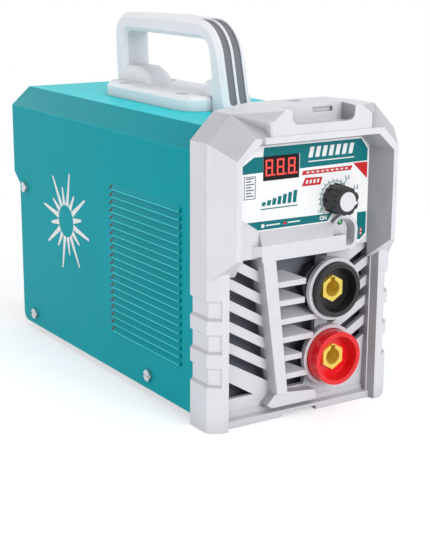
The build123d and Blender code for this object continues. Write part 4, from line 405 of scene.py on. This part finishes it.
def ink(name, outlines, place, across, up, out, tree, thick=FIRST_INK):
    """Thin printed shapes on a face: outlines are lists of (across, up) from place."""
    mesh = bpy.data.meshes.new(name)
    shape = bmesh.new()
    for outline in outlines:
        front, back = [], []
        for a, b in outline:
            spot = place + across * (a * MM) + up * (b * MM)
            front.append(shape.verts.new(spot + out * ((thick + INK_GAP) * MM)))
            back.append(shape.verts.new(spot + out * (INK_GAP * MM)))
        shape.faces.new(front)
        count = len(front)
        for i in range(count):
            j = (i + 1) % count
            shape.faces.new((front[j], front[i], back[i], back[j]))
    bmesh.ops.recalc_face_normals(shape, faces=shape.faces)
    shape.to_mesh(mesh)
    shape.free()
    piece = bpy.data.objects.new(name, mesh)
    bpy.context.collection.objects.link(piece)
    piece.data.materials.append(tree.material)
    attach(piece, "chassis")


def words(name, text, size, place, tree, across, up, out, bold):
    """Printed lettering, its middle at place."""
    curve = bpy.data.curves.new(name, "FONT")
    curve.body = text
    curve.size = size * MM
    curve.align_x = "CENTER"
    curve.align_y = "CENTER"
    curve.extrude = 0.02 * MM
    curve.offset = bold * MM
    curve.resolution_u = 3
    piece = bpy.data.objects.new(name, curve)
    bpy.context.collection.objects.link(piece)
    turn = Matrix((across, up, out)).transposed().to_4x4()
    piece.matrix_world = Matrix.Translation(place + out * (0.05 * MM)) @ turn
    piece.data.materials.append(tree.material)
    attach(piece, "chassis")


def polar(x, z, radius, angle):
    return x + radius * math.cos(angle), z + radius * math.sin(angle)


def arc(x, z, outer, inner, start, end, turns):
    """Strip outlines that together make a flat arc between two angles in degrees."""
    strips = []
    for i in range(turns):
        a, b = (math.radians(start + (end - start) * k / turns) for k in (i, i + 1))
        strips.append([polar(x, z, r, t) for r, t in ((outer, a), (outer, b), (inner, b), (inner, a))])
    return strips


# ---- control panel printing -------------------------------------------------------------------
PRINT_TOP = 149.8       # outlines below are heights above the floor, with the label's top edge here
label_place = Vector((0, LABEL_FRONT, LABEL_TOP))


def on_label(name, outlines, tree, thick=FIRST_INK):
    ink(name, outlines, label_place, RIGHT, UP, FRONT, tree, thick)


def outline(*points):
    return [(x, z - PRINT_TOP) for x, z in points]


def slanted(x0, x1, z0, z1, lean=0.0):
    return outline((x0, z0), (x1, z0), (x1 + lean, z1), (x0 + lean, z1))


def bars(x0, z0, count, pitch, wide, tall, grow=0.0, lean=0.0):
    """A row of upright or slanted bars, each taller than the last by grow."""
    starts = [x0 + i * pitch for i in range(count)]
    return [slanted(x, x + wide, z0, z0 + tall + grow * i, lean) for i, x in enumerate(starts)]


def dot(x, z, radius, turns=20):
    return [polar(x, z - PRINT_TOP, radius, 2 * math.pi * i / turns) for i in range(turns)]


def label_words(name, text, x, z, size, tree, bold, lift=0.0):
    place = label_place + RIGHT * (x * MM) + UP * ((z - PRINT_TOP) * MM) + FRONT * (lift * MM)
    words(name, text, size, place, tree, RIGHT, UP, FRONT, bold)


def print_heading():
    on_label("print_top_band", [
        outline((-41.6, 136.0), (-26.7, 136.2), (-26.7, 144.3), (-29.6, 144.3), (-32.4, 144.3),
                (-41.6, 138.8)),
        outline((-26.7, 144.3), (-3.4, 144.3), (-3.4, 148.9), (-26.2, 148.9)),
        outline((-3.4, 136.2), (41.7, 136.6), (41.7, 143.0), (37.0, 148.9), (-3.4, 148.9)),
    ], teal_ink)
    on_label("print_panel_mark", bars(2.0, 141.4, 7, 4.4, 2.7, 5.6, lean=1.2), white_print, SECOND_INK)
    on_label("print_panel_line", [slanted(2.0, 32.4, 139.0, 139.6)], white_print, SECOND_INK)


def print_red():
    on_label("print_red_bar", [outline((-1.2, 134.7), (31.6, 134.8), (30.5, 132.4), (-2.0, 132.4))], red_ink)
    on_label("print_red_dashes", bars(1.0, 133.2, 9, 3.2, 1.9, 0.8), white_print, SECOND_INK)
    on_label("print_red_badge", [outline((0.4, 130.9), (11.7, 130.4), (10.3, 126.4), (-1.9, 126.5))], red_ink)
    on_label("print_badge_dashes", bars(0.6, 127.6, 4, 2.4, 1.3, 2.0, lean=0.5), white_print, SECOND_INK)
    on_label("print_red_corner", [outline((31.9, 136.0), (41.8, 135.9), (41.8, 126.8))], red_ink)


def print_current():
    on_label("print_current_ramp", bars(-27.4, 118.6, 7, 3.3, 2.3, 2.0, grow=0.75, lean=0.6), teal_ink)
    on_label("print_current_line", [slanted(-27.8, -4.4, 116.6, 117.2)], teal_ink)


def print_side_frame():
    """A framed column of short lines."""
    left, right, foot, head, line = -38.4, -31.2, 122.8, 134.7, 0.4
    edges = [
        slanted(left, right, head - line, head), slanted(left, right, foot, foot + line),
        slanted(left, left + line, foot + line, head - line),
        slanted(right - line, right, foot + line, head - line),
    ]
    rows = [slanted(-37.2, -32.4 - 1.4 * (row % 2), 124.3 + row * 1.5, 124.9 + row * 1.5) for row in range(7)]
    on_label("print_side_frame", edges + rows, grey_ink)


def print_lower_bands():
    on_label("print_bottom_band", [outline((-36.4, 110.7), (18.6, 110.0), (15.6, 106.0), (-29.2, 106.0))],
             teal_ink)
    on_label("print_bottom_marks", [
        dot(-26.4, 108.1, 1.1), slanted(-24.4, -15.4, 107.8, 108.5), slanted(-10.6, -2.6, 107.9, 108.6),
    ], white_print, SECOND_INK)
    on_label("print_bottom_dot", [dot(-12.4, 108.2, 0.9)], red_ink, SECOND_INK)
    on_label("print_right_band", [outline((35.8, 108.6), (42.0, 108.6), (42.0, 96.6), (38.2, 93.4),
                                          (35.8, 93.4))], teal_ink)
    on_label("print_right_mark", [slanted(37.9, 39.4, 95.6, 99.8)], red_ink, SECOND_INK)
    on_label("print_right_dash", [dot(38.65, 98.7, 0.5), dot(38.65, 96.8, 0.5)], white_print, THIRD_INK)


def print_dial():
    """Scale, ticks and generic numbers round the knob, with angles from the right, in degrees."""
    x, z = KNOB.x / MM, (KNOB.z - LABEL_TOP) / MM
    start, end, step, ticks = -15, 222, 16, 16
    inner, outer, tick_end, long_end = 9.1, 9.5, 10.6, 12.4

    def tick(angle, foot, tip, half=0.22):
        a = math.radians(angle)
        c, s = math.cos(a), math.sin(a)
        return [(x + r * c - h * s, z + r * s + h * c)
                for r, h in ((foot, -half), (tip, -half), (tip, half), (foot, half))]

    on_label("print_dial_arc", arc(x, z, outer, inner, start, end, 40), teal_ink)
    on_label("print_dial_ticks", [tick(start + step * i, outer, tick_end) for i in range(ticks)]
             + [tick(angle, tick_end, long_end) for angle in (49, 17)], teal_ink)
    for name, text, at_x, at_z, size in (("print_dial_low", "1.6", 10.4, 111.9, 2.5),
                                         ("print_dial_middle", "2.5", 28.4, 128.4, 2.7),
                                         ("print_dial_high", "3.2", 34.4, 122.6, 2.7)):
        label_words(name, text, at_x, at_z, size, teal_ink, bold=0.06)


def print_lamp():
    """ON beside the power lamp, and the lamp's dark rim and a painted highlight on it."""
    label_words("print_on", "ON", 12.8, 108.0, 3.0, white_print, bold=0.16, lift=0.06)
    lamp_front = Vector((LED.x, low("power_led").y, LED.z))
    radius = (high("power_led").x - LED.x) / MM
    rim_share = 0.72
    ink("led_rim", arc(0, 0, radius, rim_share * radius, 0, 360, 24), lamp_front, RIGHT, UP, FRONT,
        rim_mat)
    # painted highlight on the lamp's lens, in white print
    ink("led_painted_highlight", [[(-0.75, 0.1), (-0.1, 0.75), (0.15, 0.45), (-0.45, -0.15)]], lamp_front, RIGHT, UP,
        FRONT, white_print)


print_heading()
print_red()
print_current()
print_side_frame()
print_lower_bands()
print_dial()
print_lamp()


# ---- switch marks on the rear panel -----------------------------------------------------------
SWITCH_MARK_GAP = 3.2 * MM
switch_low, switch_high = low("switch_housing"), high("switch_housing")
for text, z in (("ON", switch_high.z + SWITCH_MARK_GAP), ("OFF", switch_low.z - SWITCH_MARK_GAP)):
    place = Vector(((switch_low.x + switch_high.x) / 2, high("rear_panel").y, z))
    words("print_switch_" + text.lower(), text, 3.6, place, white_print, LEFT, UP, REAR, bold=0.1)


# ---- weld spark printed on the cover's left side ----------------------------------------------
SPARK_PLACE = Vector((COVER_LEFT, 53 * MM, 83 * MM))
SPARK_RAYS = 16
SPARK_HOLLOW, SPARK_LONG, SPARK_SHORT = 10, 31, 21      # radii of the middle and of the rays' tips
RAY_FOOT, RAY_TIP = 3.6, 1.4                            # widths of a ray


def spark_ray(step):
    """One tapered stroke of a weld spark, long and short in turn."""
    turn = math.tau * (step + 0.5) / SPARK_RAYS
    along = Vector((math.cos(turn), math.sin(turn)))
    across = Vector((-along.y, along.x))
    reach = SPARK_LONG if step % 2 else SPARK_SHORT
    corners = ((SPARK_HOLLOW, -RAY_FOOT), (reach, -RAY_TIP), (reach, RAY_TIP), (SPARK_HOLLOW, RAY_FOOT))
    return [tuple(along * far + across * width / 2) for far, width in corners]


ink("emblem_spark", [spark_ray(step) for step in range(SPARK_RAYS)], SPARK_PLACE, FRONT, UP, LEFT,
    white_print)


# ---- the cover's louvres: cut edges with a painted highlight, closed front ends, rear ends with painted shade ---
LOUVRE_FIRST, LOUVRE_PITCH, LOUVRE_COUNT = 28.6, 4.45, 20
LOUVRE_FRONT, LOUVRE_REAR = -83.3, -8.8
CUT_TALL = 0.5
CAP_PROUD, CAP_TALL = 1.42, 3.0     # the cap covers a louvre and its cut edge
DARK_TALL, DARK_LAP, DARK_REACH = 3.3, 0.6, 5.4     # painted shade at a louvre's rear end: height, overlap on the louvre, reach past its end
LAP = 0.1               # how far caps and the painted shade at the rear ends reach below a louvre; the latter twice


def louvre_ends(side, reach):
    """The cut edges with a painted highlight, the caps, and the rear ends with painted shade, of one side's
    louvres; reach is -1 on the left and 1 on the right.
    """
    heights = [LOUVRE_FIRST + LOUVRE_PITCH * step for step in range(LOUVRE_COUNT)]
    out = Vector((reach, 0, 0))
    face = Vector((reach * -COVER_LEFT, 0, 0))
    cuts = [[(LOUVRE_FRONT, z), (LOUVRE_REAR, z), (LOUVRE_REAR, z + CUT_TALL), (LOUVRE_FRONT, z + CUT_TALL)]
            for z in heights]
    # painted highlight along each louvre's cut edge
    ink("louvre_highlights_" + side, cuts, face + out * LOUVRE_PROUD, REAR, UP, out, louvre_highlight_mat, 0.04)
    caps = [[(0, z - LAP), (CAP_PROUD, z - LAP), (LAP, z + CAP_TALL), (0, z + CAP_TALL)] for z in heights]
    ink("louvre_caps_" + side, caps, face + REAR * (LOUVRE_FRONT * MM), out, UP, FRONT, cover_mat,
        0.3)
    # painted shade: black pieces over the louvres' open rear ends
    painted_shades = [[(LOUVRE_REAR - DARK_LAP, z - 2 * LAP), (LOUVRE_REAR + DARK_REACH, z - 2 * LAP),
              (LOUVRE_REAR + DARK_LAP, z + DARK_TALL), (LOUVRE_REAR - DARK_LAP, z + DARK_TALL)]
             for z in heights]
    ink("louvre_ends_" + side, painted_shades, face, REAR, UP, out, black_mat, 0.03)


louvre_ends("left", -1)
louvre_ends("right", 1)


# ---- floor, world, lamps and camera -----------------------------------------------------------
WHITE = (1, 1, 1, 1)
FLOOR_REACH = 6.0
FLOOR_COLOUR = (0.82, 0.82, 0.83, 1)
FLOOR_GLOW = 0.42
SHADOW_REACH, WHITE_REACH = 0.25, 0.55      # the floor keeps shadows up to here, and is white from there
WORLD_COLOUR, WORLD_LIGHT = (0.95, 0.97, 1.0, 1), 0.42


def background_rays(tree):
    """1 for the rays that show the background: from the camera, off gloss and through glass."""
    path = tree.nodes.new("ShaderNodeLightPath")
    socket = path.outputs["Is Camera Ray"]
    for name in ("Is Glossy Ray", "Is Transmission Ray"):
        either = tree.nodes.new("ShaderNodeMath")
        either.operation = "MAXIMUM"
        tree.links.new(socket, either.inputs[0])
        tree.links.new(path.outputs[name], either.inputs[1])
        socket = either.outputs["Value"]
    return socket


def plain_light(tree, kind, colour, strength):
    node = tree.nodes.new(kind)
    node.inputs["Color"].default_value = colour
    node.inputs["Strength"].default_value = strength
    return node.outputs[0]


def mixed(tree, share, first, second):
    node = tree.nodes.new("ShaderNodeMixShader")
    tree.links.new(share, node.inputs["Fac"])
    tree.links.new(first, node.inputs[1])
    tree.links.new(second, node.inputs[2])
    return node.outputs["Shader"]


def floor_finish():
    """Pale and matt; to background rays it also glows, and it turns white further out."""
    tree = Tree("floor")
    tree.shader.inputs["Base Color"].default_value = FLOOR_COLOUR
    tree.fixed(rough=0.9, specular=0.1)
    matt = tree.shader.outputs["BSDF"]
    add = tree.nodes.new("ShaderNodeAddShader")
    tree.links.new(matt, add.inputs[0])
    tree.links.new(plain_light(tree, "ShaderNodeEmission", WHITE, FLOOR_GLOW), add.inputs[1])
    distance = tree.nodes.new("ShaderNodeVectorMath")
    distance.operation = "LENGTH"
    tree.links.new(tree.place.outputs["Object"], distance.inputs[0])
    away = tree.ramp(distance.outputs["Value"], SHADOW_REACH, 0.0, WHITE_REACH, 1.0)
    white = plain_light(tree, "ShaderNodeEmission", WHITE, 1.0)
    seen = mixed(tree, away, add.outputs["Shader"], white)
    surface = mixed(tree, background_rays(tree), matt, seen)
    tree.links.new(surface, tree.nodes["Material Output"].inputs["Surface"])
    return tree


def stage_floor():
    mesh = bpy.data.meshes.new("floor")
    shape = bmesh.new()
    bmesh.ops.create_grid(shape, x_segments=1, y_segments=1, size=FLOOR_REACH)
    shape.to_mesh(mesh)
    shape.free()
    floor = bpy.data.objects.new("floor", mesh)
    bpy.context.collection.objects.link(floor)
    floor.data.materials.append(floor_finish().material)


def stage_world():
    """Soft light from all round, seen as white."""
    world = bpy.data.worlds.new("studio")
    bpy.context.scene.world = world
    world.use_nodes = True
    tree = world.node_tree
    soft = tree.nodes["Background"]
    soft.inputs["Color"].default_value = WORLD_COLOUR
    soft.inputs["Strength"].default_value = WORLD_LIGHT
    white = plain_light(tree, "ShaderNodeBackground", WHITE, 1.0)
    surface = mixed(tree, background_rays(tree), soft.outputs["Background"], white)
    tree.links.new(surface, tree.nodes["World Output"].inputs["Surface"])


def lamp(name, spot, target, size, power):
    """A square area lamp, with its places and size in metres and its power in watts."""
    data = bpy.data.lights.new(name, "AREA")
    data.size = size
    data.energy = power
    piece = bpy.data.objects.new(name, data)
    piece.location = spot
    piece.rotation_euler = (Vector(target) - Vector(spot)).to_track_quat("-Z", "Y").to_euler()
    bpy.context.collection.objects.link(piece)


def camera(spot, azimuth, elevation, roll, lens):
    """A camera at spot; azimuth 0 looks along +Y, and a positive elevation looks down."""
    a, e, r = (math.radians(angle) for angle in (azimuth, elevation, roll))
    back = Vector((math.sin(a) * math.cos(e), -math.cos(a) * math.cos(e), math.sin(e)))
    right = Vector((math.cos(a), math.sin(a), 0))
    up = back.cross(right)
    turned_right = right * math.cos(r) + up * math.sin(r)
    turned_up = up * math.cos(r) - right * math.sin(r)
    data = bpy.data.cameras.new("camera")
    data.sensor_fit = "VERTICAL"
    data.sensor_height = 36
    data.lens = lens
    data.clip_start = 0.01
    data.clip_end = 50
    piece = bpy.data.objects.new("camera", data)
    turn = Matrix((turned_right, turned_up, back)).transposed().to_4x4()
    piece.matrix_world = Matrix.Translation(spot) @ turn
    bpy.context.collection.objects.link(piece)
    bpy.context.scene.camera = piece


CAMERA_FROM_RIM = Vector((-0.39925, -0.52139, 0.25224))     # metres from the foot of the rim's middle

stage_floor()
stage_world()
lamp("key", (0.15, -1.9, 0.75), (0, 0, 0.08), 0.9, 19)
lamp("top", (0.2, 0.0, 1.7), (0, 0, 0.1), 1.2, 7)
lamp("side", (-1.8, 0.1, 0.25), (0, 0.05, 0.1), 0.9, 11)
lamp("back", (-0.5, 1.9, 0.6), (0, 0.05, 0.1), 0.9, 5)
camera(CAMERA_FROM_RIM + Vector((0, RIM, 0)), azimuth=-32.7, elevation=14.74, roll=0.25, lens=83.764)
bpy.context.scene.view_settings.view_transform = "Standard"
